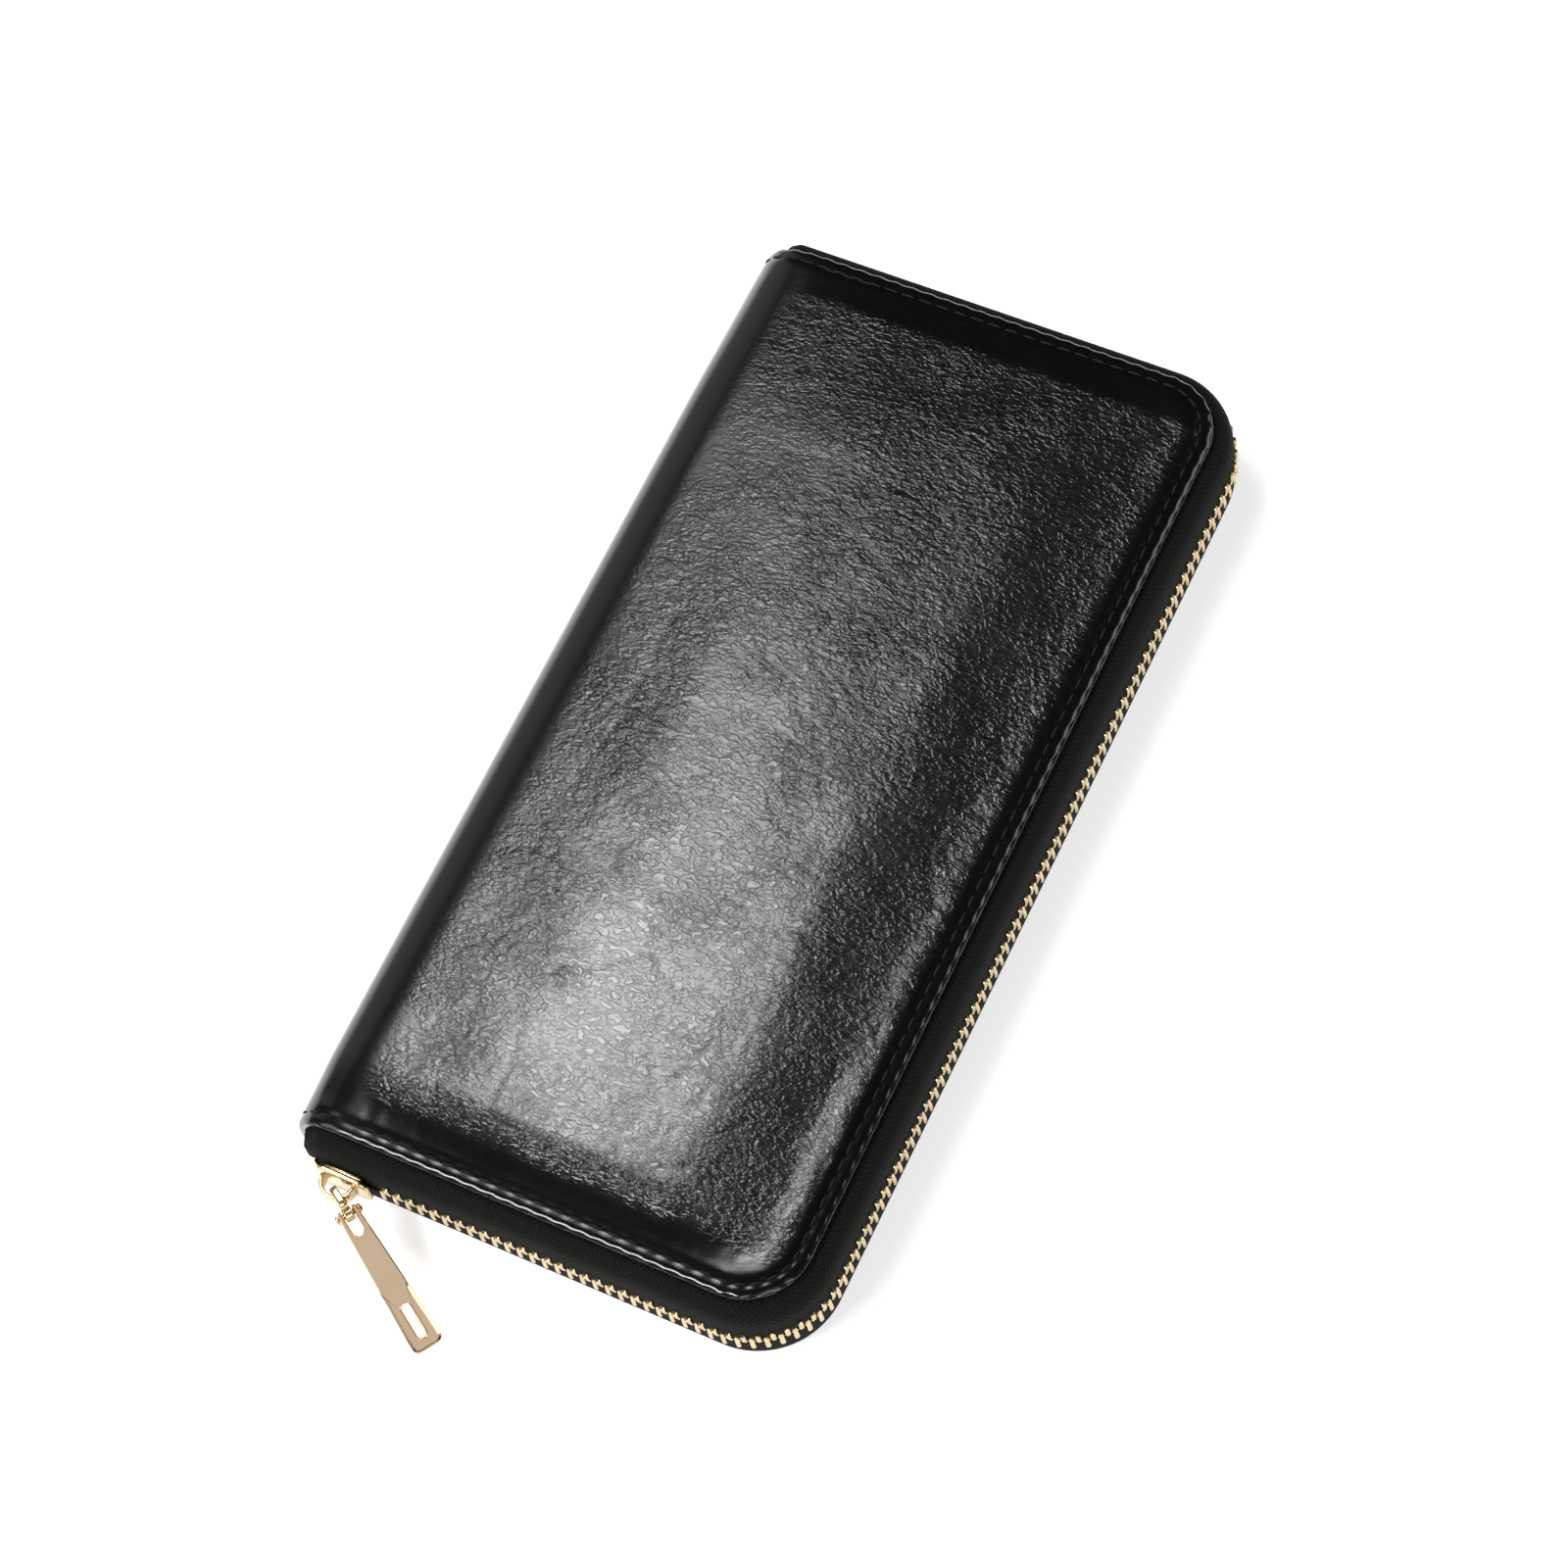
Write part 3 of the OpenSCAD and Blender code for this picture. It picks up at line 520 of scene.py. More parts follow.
def prongs(offsets, levels, half_out, half_along, chamfer):
    """Teeth at arc lengths offsets along the chain: eight-sided sections (a rectangle with its corners
    cut) stacked at levels, each tooth turned to the chain's own direction."""
    px, py, turn, run = zip_points(chain_out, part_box("lower_zip_tape")[0].x, 60)
    cx, cy, ct = (np.interp(offsets, run, v) for v in (px, py, turn))
    c = np.array(chamfer)[:, None]
    o, a = np.array(half_out)[:, None], np.array(half_along)[:, None]
    ox = np.concatenate([o, o, o - c, -o + c, -o, -o, -o + c, o - c], 1)
    oy = np.concatenate([-a + c, a - c, a, a, a - c, -a + c, -a, -a], 1)
    out = np.stack([np.cos(ct), np.sin(ct)], -1)[:, None, None]
    along = np.stack([-np.sin(ct), np.cos(ct)], -1)[:, None, None]
    flat = np.stack([cx, cy], -1)[:, None, None] + out * ox[None, ..., None] + along * oy[None, ..., None]
    z = np.array(levels)[None, :, None] + 0 * flat[..., 0]
    teeth = np.concatenate([flat, z[..., None]], -1)
    number = np.arange(teeth[..., 0].size).reshape(teeth.shape[:3])
    ring = np.concatenate([number, number[..., :1]], -1)
    walls = np.stack([ring[:, :-1, :-1], ring[:, :-1, 1:], ring[:, 1:, 1:], ring[:, 1:, :-1]], -1)
    return teeth.reshape(-1, 3), [walls.reshape(-1, 4), number[:, 0, ::-1], number[:, -1]]


teeth_lo, teeth_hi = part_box("lower_zip_teeth")
leg_z, head_z = teeth_lo.z, teeth_hi.z
chain_run = zip_points(chain_out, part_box("lower_zip_tape")[0].x, 60)[3]
chain_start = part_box("slider_body")[1].x + 0.0011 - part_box("lower_zip_tape")[0].x
tooth_pitch = 0.00245
tooth_count = int((chain_run[-1] - chain_start - 0.0024) / tooth_pitch)
levels = [leg_z, leg_z + 0.0002, mid_z - 0.0011, mid_z - 0.0006, mid_z - 0.0001, mid_z + 0.0004, head_z]
half_out = np.array([0.00062, 0.00084, 0.00086, 0.00072, 0.00072, 0.00062, 0.00038])
half_along = np.array([0.00032, 0.00044, 0.00045, 0.00040, 0.00054, 0.00050, 0.00026])
cut = [0.00018, 0.0002, 0.0002, 0.00018, 0.00024, 0.0002, 0.00014]
row = chain_start + (np.arange(tooth_count) + 0.25) * tooth_pitch
lower_points, tooth_faces = prongs(row, levels, half_out, half_along, cut)
upper_points, _ = prongs(row + tooth_pitch / 2, levels, half_out, half_along, cut)
lower_teeth = build("lower_zip_teeth_row", lower_points, tooth_faces, gold, smooth=False)
upper_teeth = build("upper_zip_teeth_row", upper_points * mirror + (0, 0, 2 * mid_z),
                    [f[:, ::-1] for f in tooth_faces], gold, smooth=False)
for teeth, body, node in ((lower_teeth, "back_cover", "lower_zip_teeth"), (upper_teeth, "front_cover", "upper_zip_teeth")):
    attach(teeth, body)
    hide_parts(node)


# ---------- zip slider ----------
# Die-cast zinc, polished and plated pale gold: two rounded plates on either side of the chain, a neck
# at the mouth and rims beside the tape. The outer plate carries the hoop.
def pillow(outline, thick, edge, place=Matrix.Identity(4)):
    """A closed slab with rounded edges: the outline drawn in by edge (1 - sqrt(1 - h^2)) at each level,
    then put where place says. The outline runs anticlockwise."""
    outline = np.array(outline, float)
    ahead = np.roll(outline, -1, 0) - outline
    ahead /= np.linalg.norm(ahead, axis=1, keepdims=True) + 1e-12
    normal = np.stack([ahead[:, 1], -ahead[:, 0]], -1)
    normal = normal + np.roll(normal, 1, 0)
    normal /= (normal * normal).sum(1, keepdims=True) / 2 + 1e-12
    h = np.linspace(1, 0, 5)
    level = np.concatenate([edge * (1 - h), thick - edge * (1 - h[::-1])]) - thick / 2
    inset = edge * (1 - np.sqrt(1 - np.concatenate([h, h[::-1]]) ** 2 * 0.999))
    flat = outline[None] - normal[None] * inset[:, None, None]
    solid = np.concatenate([flat, level[:, None, None] + 0 * flat[..., :1]], -1)
    number = np.arange(solid[..., 0].size).reshape(solid.shape[:2])
    ring = np.concatenate([number, number[:, :1]], 1)
    turned = np.array(place)
    return solid.reshape(-1, 3) @ turned[:3, :3].T + turned[:3, 3], \
        [weave(ring)[:, [0, 3, 2, 1]], number[:1, ::-1], number[-1:]]


def rounded_box(w, h, r, steps=6):
    """Outline of a rectangle w by h with corner radius r, anticlockwise."""
    a = np.linspace(0, math.pi / 2, steps)
    quarter = [(sx * (w / 2 - r), sy * (h / 2 - r), t) for sx, sy, t in ((1, -1, -1), (1, 1, 0), (-1, 1, 1), (-1, -1, 2))]
    return np.concatenate([np.stack([x + r * np.cos(a + t * math.pi / 2), y + r * np.sin(a + t * math.pi / 2)], -1)
                           for x, y, t in quarter])


def union(*parts):
    """Several closed shells as one mesh."""
    points, faces, start = [], [], 0
    for p, f in parts:
        points.append(p)
        faces += [np.asarray(g) + start for g in f]
        start += len(p)
    return np.concatenate(points), faces


slider_lo, slider_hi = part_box("slider_body")
slider_mid = (slider_lo + slider_hi) / 2
slider_l, slider_h = slider_hi.x - slider_lo.x, slider_hi.z - slider_lo.z
plate_t, slot_half = 0.0009, 0.0011
chain_y = -(half_l + chain_out)
upright_plate = Matrix.Rotation(math.pi / 2, 4, "X")
plate_outline = rounded_box(slider_l, slider_h, 0.0018)
plate_outline[:, 1] *= 1 - 0.16 * ease((plate_outline[:, 0] / slider_l + 0.1) / 0.6)
inner_outline = plate_outline * (1, 0.98)
shells = [pillow(plate_outline, plate_t, 0.0004, Matrix.Translation((slider_mid.x, chain_y - slot_half - plate_t / 2, mid_z)) @ upright_plate),
          pillow(inner_outline, plate_t, 0.0004, Matrix.Translation((slider_mid.x, chain_y + slot_half + plate_t / 2, mid_z)) @ upright_plate),
          pillow(rounded_box(0.0018, 0.0018, 0.0005), 2 * slot_half + 0.0004, 0.0001,
                 Matrix.Translation((slider_lo.x + 0.0014, chain_y, mid_z)) @ upright_plate)]
shells += [pillow(rounded_box(slider_l - 0.0034, 0.00075, 0.0003), 0.0008, 0.0002,
                  Matrix.Translation((slider_mid.x, chain_y + s * (slot_half - 0.00038), mid_z + u * (slider_h * 0.44 - 0.0006))))
           for s in (-1, 1) for u in (-1, 1)]
slider = build("zip_slider_body", *union(*shells), gold)
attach(slider, "zip_slider")
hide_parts("slider_body")


# ---------- slider hoop ----------
# A flat brass band bent to a half round and riveted to the outer plate; the link swings in it.
def band(path, width_dir, half_wide, half_thick, closed=False):
    """A bar of rounded section carried along path: at each point, a superellipse of half_wide along
    width_dir and half_thick across it."""
    path = np.array(path, float)
    ahead = np.roll(path, -1, 0) - np.roll(path, 1, 0)
    if not closed:
        ahead[0], ahead[-1] = path[1] - path[0], path[-1] - path[-2]
    ahead /= np.linalg.norm(ahead, axis=1, keepdims=True)
    side = np.cross(ahead, np.array(width_dir, float))
    side /= np.linalg.norm(side, axis=1, keepdims=True)
    a = np.arange(16) * math.pi / 8 + 0.01
    c, s = np.sign(np.cos(a)) * np.abs(np.cos(a)) ** 0.45, np.sign(np.sin(a)) * np.abs(np.sin(a)) ** 0.45
    points = path[:, None] + np.array(width_dir)[None, None] * (half_wide * c)[None, :, None] \
        + side[:, None] * (half_thick * s)[None, :, None]
    number = np.arange(points[..., 0].size).reshape(points.shape[:2])
    ring = np.concatenate([number, number[:, :1]], 1)
    if closed:
        return points.reshape(-1, 3), [weave(np.concatenate([ring, ring[:1]]))]
    return points.reshape(-1, 3), [weave(ring), number[:1], number[-1:, ::-1]]


hoop_lo, hoop_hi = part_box("slider_hoop")
hoop_r = (hoop_hi.x - hoop_lo.x) / 2
hoop_x, hoop_y = (hoop_lo.x + hoop_hi.x) / 2, hoop_hi.y
a = np.linspace(math.radians(172), math.radians(368), 26)
hoop_path = np.stack([hoop_x + (hoop_r - 0.0004) * np.cos(a), hoop_y + (hoop_r - 0.0004) * np.sin(a), mid_z + 0 * a], -1)
hoop = build("slider_hoop_band", *band(hoop_path, (0, 0, 1), (hoop_hi.z - hoop_lo.z) / 2, 0.0004), gold)
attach(hoop, "zip_slider")
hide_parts("slider_hoop")


# ---------- link, pin and pull ----------
# The link is a bent brass bar hooked through the hoop, with an eye for the pin. The pull is a tapered
# brass bar forked over the eye, held by a pin with two domed heads, with a plain slot near its end.
def stand(joint_name):
    """The joint's place, and its axis as a unit vector."""
    joint = next(j for j in frame["joints"] if j["name"] == joint_name)
    return Vector(joint["pos_m"]), Vector(joint["axis"]).normalized()


pivot, _ = stand("link_swing")
pin_place, pin_axis = stand("pull_swing")
reach = Vector((pin_place.x - pivot.x, pin_place.y - pivot.y, 0))
link_dir = reach.normalized()
link_side = Vector((0, 0, 1)).cross(link_dir)
link_place = Matrix((link_dir, link_side, Vector((0, 0, 1)))).transposed().to_4x4()
link_place.translation = pivot
drop = pin_place.z - pivot.z
arm_z, bend_r = 0.00215, 0.0009
corner = np.linspace(0, math.pi / 2, 7)
far_x = reach.length - 0.0007
ring_path = np.concatenate([
    np.stack([bend_r - bend_r * np.cos(corner), 0 * corner, arm_z - bend_r + bend_r * np.sin(corner)], -1),
    np.stack([far_x - bend_r + bend_r * np.sin(corner), 0 * corner, arm_z - bend_r + bend_r * np.cos(corner)], -1),
    np.stack([far_x - bend_r + bend_r * np.cos(corner), 0 * corner, -arm_z + bend_r - bend_r * np.sin(corner)], -1),
    np.stack([bend_r - bend_r * np.sin(corner), 0 * corner, -arm_z + bend_r - bend_r * np.cos(corner)], -1)])
loop_points, loop_faces = band(ring_path, (0, 1, 0), 0.00072, 0.00042, closed=True)
turned = np.array(link_place)
loop_points = loop_points @ turned[:3, :3].T + turned[:3, 3]
a = np.arange(28) * 2 * math.pi / 28
eye_place = link_place @ Matrix.Translation((reach.length, 0, drop)) @ Matrix.Rotation(math.pi / 2, 4, "X")
eye = pillow(np.stack([np.cos(a), np.sin(a)], -1) * 0.00135, 0.0017, 0.0003, eye_place)
link = build("pull_link_loop", *union((loop_points, loop_faces), eye), gold)
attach(link, "pull_link")
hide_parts("pull_link")

slope = math.radians(23)
pull_dir = (link_dir * math.cos(slope) - Vector((0, 0, 1)) * math.sin(slope)).normalized()
pull_place = Matrix((pull_dir, pin_axis, pull_dir.cross(pin_axis))).transposed().to_4x4()
pull_place.translation = pin_place
pull_l, root_w, end_w, pull_t = 0.027, 0.002, 0.003, 0.0022
fork_gap, fork_l, slot_x, slot_half_l, slot_r = 0.001, 0.0042, 0.0215, 0.0025, 0.0008
split_x = 0.0145
half_w = root_w + (end_w - root_w) * split_x / (pull_l - end_w)
a = np.linspace(0, 2 * math.pi, 72, endpoint=False)
ray = np.stack([np.cos(a), np.sin(a)], -1)


def reach_out(shape):
    """How far each ray from the slot's middle runs before it leaves the shape, by halving."""
    low, high = np.zeros(len(a)), np.full(len(a), 0.02)
    for _ in range(40):
        mid = (low + high) / 2
        inside = shape((slot_x, 0) + ray * mid[:, None])
        low, high = np.where(inside, mid, low), np.where(inside, high, mid)
    return (slot_x, 0) + ray * low[:, None]


def in_end(p):
    """The pull's free part: between the widening sides, and inside a squared-off round end."""
    side = root_w + (end_w - root_w) * p[:, 0] / (pull_l - end_w)
    over = np.clip(p[:, 0] - (pull_l - 0.0016), 0, 1) / 0.0016
    wide = np.abs(p[:, 1]) / np.minimum(side, end_w)
    return (p[:, 0] > split_x) & (over ** 2.6 + np.clip((wide - 0.45) / 0.55, 0, 9) ** 2.6 < 1) & (wide < 1)


def in_slot(p):
    """The slot: a straight run with half-round ends."""
    return np.hypot(np.clip(np.abs(p[:, 0] - slot_x) - slot_half_l, 0, 1), p[:, 1]) < slot_r


end_loop, slot_loop = reach_out(in_end), reach_out(in_slot)
cut_line = np.abs(end_loop[:, 0] - split_x) < 1e-5
fork = np.array([(split_x, half_w), (0.006, root_w + 0.00028), (0.0004, root_w), (-0.0007, root_w), (-0.0011, root_w - 0.0004), (-0.0011, fork_gap + 0.0001),
                 (fork_l - 0.0008, fork_gap), (fork_l, fork_gap * 0.4), (fork_l, -fork_gap * 0.4), (fork_l - 0.0008, -fork_gap), (-0.0011, -fork_gap - 0.0001),
                 (-0.0011, 0.0004 - root_w), (-0.0007, -root_w), (0.0004, -root_w), (0.006, -root_w - 0.00028), (split_x, -half_w)])
order = np.roll(np.arange(72), -(int(np.flatnonzero(cut_line)[-1]) + 1))
order = order[~cut_line[order]]
outer_loop = np.concatenate([end_loop[order], fork])
n_out, n_end, n_cut = len(outer_loop), len(order), int(cut_line.sum())
edge_r = 0.0007
soften = np.where(np.arange(n_out) < n_end, 1.0, 0.35)[None, :, None]
ahead = np.roll(outer_loop, -1, 0) - np.roll(outer_loop, 1, 0)
ahead /= np.linalg.norm(ahead, axis=1, keepdims=True)
normal = np.stack([ahead[:, 1], -ahead[:, 0]], -1)
h = np.linspace(1, 0, 4)
level = np.concatenate([edge_r * (1 - h), pull_t - edge_r * (1 - h[::-1])]) - pull_t / 2
inset = edge_r * (1 - np.sqrt(1 - np.concatenate([h, h[::-1]]) ** 2 * 0.999))
walls = np.concatenate([outer_loop[None] - normal[None] * inset[:, None, None] * soften, level[:, None, None] + np.zeros((8, n_out, 1))], -1)
slot_ahead = np.roll(slot_loop, -1, 0) - np.roll(slot_loop, 1, 0)
slot_ahead /= np.linalg.norm(slot_ahead, axis=1, keepdims=True)
slot_out = np.stack([slot_ahead[:, 1], -slot_ahead[:, 0]], -1)
hole = np.concatenate([slot_loop[None] + slot_out[None] * (inset * 0.45)[:, None, None], level[:, None, None] + np.zeros((8, 72, 1))], -1)
cut_order = np.flatnonzero(cut_line)[np.argsort(-end_loop[cut_line, 1])]
bridge = np.concatenate([np.concatenate([end_loop[cut_order], np.full((n_cut, 1), z)], -1) for z in (level[0], level[-1])])
pull_points = np.concatenate([walls.reshape(-1, 3), hole.reshape(-1, 3), bridge])
wall_no = np.arange(8 * n_out).reshape(8, n_out)
hole_no = 8 * n_out + np.arange(8 * 72).reshape(8, 72)
bridge_no = 8 * n_out + 8 * 72 + np.arange(2 * n_cut).reshape(2, n_cut)
ring = np.concatenate([wall_no, wall_no[:, :1]], 1)
hole_ring = np.concatenate([hole_no, hole_no[:, :1]], 1)
pull_faces = [weave(ring)[:, [0, 3, 2, 1]], weave(hole_ring)]
for side, lv in ((0, 0), (1, 7)):
    cap = np.zeros(72, int)
    cap[order] = wall_no[lv, :n_end]
    cap[cut_order] = bridge_no[side]
    lid = weave(np.stack([np.append(cap, cap[0]), np.append(hole_no[lv], hole_no[lv][0])]))
    mouth = np.concatenate([wall_no[lv, n_end:], bridge_no[side][::-1]])[None]
    # the two corners where the fork part meets the round part
    first, last = wall_no[lv, n_end], wall_no[lv, n_out - 1]
    near_top, near_low = cap[(cut_order[0] - 1) % 72], cap[(cut_order[-1] + 1) % 72]
    corners = np.array([[near_top, first, bridge_no[side][0]], [last, near_low, bridge_no[side][-1]]])
    pull_faces += [lid if side else lid[:, ::-1], mouth if side else mouth[:, ::-1], corners if side else corners[:, ::-1]]
turned = np.array(pull_place)
pull_points = pull_points @ turned[:3, :3].T + turned[:3, 3]


def paint_pull(wire, place):
    """The same plating, satin, with its colour painted lighter and rosier than the teeth's: painted light for the
    light its broad face catches.
    """
    patch = wire.noise(place, 60.0, 2.0)
    return {"Base Color": patch.tint((0.80, 0.56, 0.36, 1), (0.93, 0.74, 0.52, 1)),
            "Roughness": 0.16 + 0.06 * patch, "height": patch * 0.00002}


pull = build("pull_bar", pull_points, pull_faces, material("gold_pull_painted_lighter", paint_pull, Metallic=1.0), smooth=False)
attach(pull, "pull")
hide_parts("pull_tab")

# the pin: a profile (radius, place along the pin) turned round its axis
head = np.linspace(0, math.pi / 2, 7)
half = 0.00206
profile = np.concatenate([np.stack([0.00095 * np.sin(head[1:]), -half - 0.00062 * np.cos(head[1:])], -1), [(0.0005, -half), (0.0005, half)],
                          np.stack([0.00095 * np.cos(head[:-1]), half + 0.00062 * np.sin(head[:-1])], -1)])
a = np.arange(24) * 2 * math.pi / 24
solid = np.stack([profile[:, :1] * np.cos(a), profile[:, 1:] + 0 * a, profile[:, :1] * np.sin(a)], -1)
number = np.arange(solid[..., 0].size).reshape(solid.shape[:2])
ring = np.concatenate([number, number[:, :1]], 1)
pin_points = solid.reshape(-1, 3) @ turned[:3, :3].T + turned[:3, 3]
pin = build("pull_pin_domed", pin_points, [weave(ring), number[:1], number[-1:, ::-1]], gold)
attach(pin, "pull")
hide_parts("pull_pin")


# ---------- linings ----------
# Thin black twill glued over the board on the inside of each cover, and over the spine's foam.
def paint_twill(wire, place):
    rib = wire.add("ShaderNodeTexWave", {"bands_direction": "DIAGONAL"}, {"Vector": place, "Scale": 420.0})
    fuzz = wire.noise(place, 900.0, 3.0)
    return {"Base Color": (rib * 0.6 + fuzz * 0.4).tint((0.006, 0.006, 0.007, 1), (0.022, 0.022, 0.025, 1)),
            "Roughness": 0.62 + 0.2 * fuzz, "height": rib * 0.00003 + fuzz * 0.00002}


twill = material("black_twill_lining", paint_twill, Specular_IOR_Level=0.3)


def cover_shape(inset, x0):
    """Outline of a cover drawn in by inset on its three open sides, anticlockwise from the spine."""
    a = np.linspace(0, math.pi / 2, 14)
    r = corner_r - inset
    low = np.stack([corner_x + r * np.sin(a), -corner_y - r * np.cos(a)], -1)
    return np.concatenate([[(x0, -half_l + inset)], low, (low * (1, -1))[::-1], [(x0, half_l - inset)]])


def both_covers(name, nodes, points, faces, finish, slot, how):
    """A piece of the back cover and its twin on the front one, mirrored about the middle height."""
    made = []
    for side, body in (("back", "back_cover"), ("front", "front_cover")):
        p = points if side == "back" else points * mirror + (0, 0, 2 * mid_z)
        f = faces if side == "back" else [g[:, ::-1] for g in faces]
        piece = build(f"{side}_{name}", p, f, finish)
        how(piece, side, body)
        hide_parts(*[f"{side}_{n}" if not n.startswith("gusset") else n.replace("back", side) for n in nodes])
        made.append(piece)
    return made


def ride_cover(piece, side, body):
    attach(piece, body)


lining_lo, lining_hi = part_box("back_lining")
shell = pillow(cover_shape(0.0007, lining_lo.x), lining_hi.z - lining_lo.z, 0.00025,
               Matrix.Translation((0, 0, (lining_lo.z + lining_hi.z) / 2)))
for piece in both_covers("cover_lining", ["lining"], *shell, twill, "lining", ride_cover):
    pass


# ---------- card slots ----------
# Four strips of thin smooth calf on each inner face, stepped towards the zip, each with its free edge
# folded over and creased, and one line of stitching down the middle that makes two columns.
def paint_strip(wire, place):
    pore = wire.noise(place, 1500.0, 4.0, 0.6)
    worn = wire.noise(place, 50.0, 3.0)
    return {"Base Color": worn.tint((0.006, 0.006, 0.0065, 1), (0.016, 0.0155, 0.016, 1)),
            "Roughness": 0.40 + 0.12 * pore + 0.08 * worn, "height": pore * 0.00004}


strip_leather = material("smooth_black_calf", paint_strip, Specular_IOR_Level=0.4)


def strip_profile(x0, x1, z0, z1):
    """Closed X-Z outline of one strip: thin at its sewn edge, folded to a round bead at the free one,
    with a crease line pressed 1.6 mm in from it."""
    thick = z1 - z0
    x = np.concatenate([np.linspace(x0, x1 - 0.004, 8), np.linspace(x1 - 0.0035, x1 - 0.0003, 12)])
    top = z1 - 0.00012 + 0.00012 * ease((x - x1 + 0.0032) / 0.0012) - 0.00010 * np.exp(-((x - x1 + 0.0016) / 0.0002) ** 2)
    turn = np.linspace(math.pi / 2, -math.pi / 2, 7)[1:-1]
    nose = np.stack([x1 - 0.0003 + 0.0003 * np.cos(turn), (z0 + z1) / 2 + thick / 2 * np.sin(turn)], -1)
    return np.concatenate([np.stack([x, top], -1), nose, [(x1 - 0.0003, z0), (x0, z0)]])


def carried(profile, y_values, bow=None):
    """A closed X-Z profile carried along Y; bow(profile, y) may shift it. Ends are closed."""
    solid = np.stack([profile[None, :, 0] + 0 * y_values[:, None], y_values[:, None] + 0 * profile[None, :, 0],
                      profile[None, :, 1] + 0 * y_values[:, None]], -1)
    if bow is not None:
        solid = bow(solid)
    number = np.arange(solid[..., 0].size).reshape(solid.shape[:2])
    ring = np.concatenate([number, number[:, :1]], 1)
    return solid.reshape(-1, 3), [weave(ring), number[:1], number[-1:, ::-1]]


y_steps = np.linspace(-1, 1, 61)
for k in range(1, 5):
    lo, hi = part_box(f"back_card_slot_{k}")

    def slack(solid, top=hi.z, x1=hi.x):
        """The free edge stands a hair proud between the stitch lines, like sin^2 of the half width."""
        lift = 0.00018 * np.sin(math.pi * np.abs(solid[..., 1]) / hi.y) ** 2 * ease((solid[..., 0] - x1 + 0.009) / 0.009)
        return solid + np.stack([0 * lift, 0 * lift, lift * 0.25], -1)

    strip = carried(strip_profile(lo.x, hi.x, lo.z, hi.z), y_steps * hi.y, slack)
    for piece in both_covers(f"card_strip_{k}", [f"card_slot_{k}"], *strip, strip_leather, "pocket_leather", ride_cover):
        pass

# the stitching down the middle, one thread row on each strip's open face
rows_of_thread = []
for k in range(1, 5):
    lo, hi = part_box(f"back_card_slot_{k}")
    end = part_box(f"back_card_slot_{k + 1}")[1].x if k < 4 else lo.x
    x = np.arange(end + 0.002, hi.x - 0.001, 0.003)
    u = np.linspace(-1, 1, 7)
    ring = np.arange(6) * math.pi / 3
    thick = 0.0002 * np.array([0.35, 0.8, 1, 1, 1, 0.8, 0.35])[None, :, None]
    line_x = x[:, None, None] + 0.00125 * u[None, :, None] + 0 * ring
    rows_of_thread.append(np.stack([line_x, thick * np.cos(ring) + 0 * line_x,
                                    hi.z + 0.00004 + 0.00010 * np.cos(1.5 * u)[None, :, None] + thick * np.sin(ring) + 0 * line_x], -1))
tubes = np.concatenate(rows_of_thread)
numbers = np.arange(len(tubes) * 42).reshape(len(tubes), 7, 6)
wrapped = np.concatenate([numbers, numbers[:, :, :1]], 2)
sides = np.stack([wrapped[:, :-1, :-1], wrapped[:, 1:, :-1], wrapped[:, 1:, 1:], wrapped[:, :-1, 1:]], -1)
middle_faces = [sides.reshape(-1, 4)[:, ::-1], numbers[:, 0, ::-1], numbers[:, -1]]
both_covers("card_stitching", [], tubes.reshape(-1, 3), middle_faces, thread, "pocket_leather", ride_cover)


# ---------- coin pocket ----------
# Two walls of black twill joined by a pleated strip on three sides, fixed along the spine, with a
# small metal zip at its mouth.
wall_lo, wall_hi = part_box("coin_pocket_back_wall")
gusset_lo, gusset_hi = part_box("coin_pocket_gusset")
wall_mid = (wall_lo + wall_hi) / 2
wall_shell = pillow(rounded_box(wall_hi.x - wall_lo.x, wall_hi.y - wall_lo.y, 0.001), wall_hi.z - wall_lo.z, 0.00022,
                    Matrix.Translation(wall_mid))
for name, node, flip in (("coin_pocket_back_cloth", "coin_pocket_back_wall", False), ("coin_pocket_front_cloth", "coin_pocket_front_wall", True)):
    p, f = wall_shell
    piece = build(name, p * mirror + (0, 0, 2 * mid_z) if flip else p, [g[:, ::-1] for g in f] if flip else f, twill)
    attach(piece, "spine")
    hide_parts(node)

zs = np.linspace(0, 1, 9)
fold = 0.0011 * (1 - np.abs(2 * zs - 1))
side_in = np.concatenate([np.stack([-fold, zs], -1), np.stack([-fold[::-1] - 0.0004, zs[::-1]], -1)])
reach_x, reach_y = gusset_lo.x + 0.0001, gusset_hi.y - 0.0001
a = np.linspace(0, math.pi / 2, 6)
bend = 0.0025
corner_line = np.stack([reach_x + bend - bend * np.sin(a), -reach_y + bend - bend * np.cos(a)], -1)
line = np.concatenate([[(gusset_hi.x, -reach_y), (0, -reach_y)], corner_line, (corner_line * (1, -1))[::-1], [(0, reach_y), (gusset_hi.x, reach_y)]])
facing = np.concatenate([[(0, -1), (0, -1)], np.stack([-np.sin(a), -np.cos(a)], -1), np.stack([-np.sin(a), np.cos(a)], -1)[::-1], [(0, 1), (0, 1)]])
solid = np.concatenate([line[:, None] + facing[:, None] * side_in[None, :, :1],
                        (gusset_lo.z + (gusset_hi.z - gusset_lo.z) * side_in[None, :, 1:]) + np.zeros((len(line), 1, 1))], -1)
number = np.arange(solid[..., 0].size).reshape(solid.shape[:2])
ring = np.concatenate([number, number[:, :1]], 1)
pleat = build("coin_pocket_pleat", solid.reshape(-1, 3), [weave(ring), number[:1], number[-1:, ::-1]], twill)
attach(pleat, "spine")
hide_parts("coin_pocket_gusset")


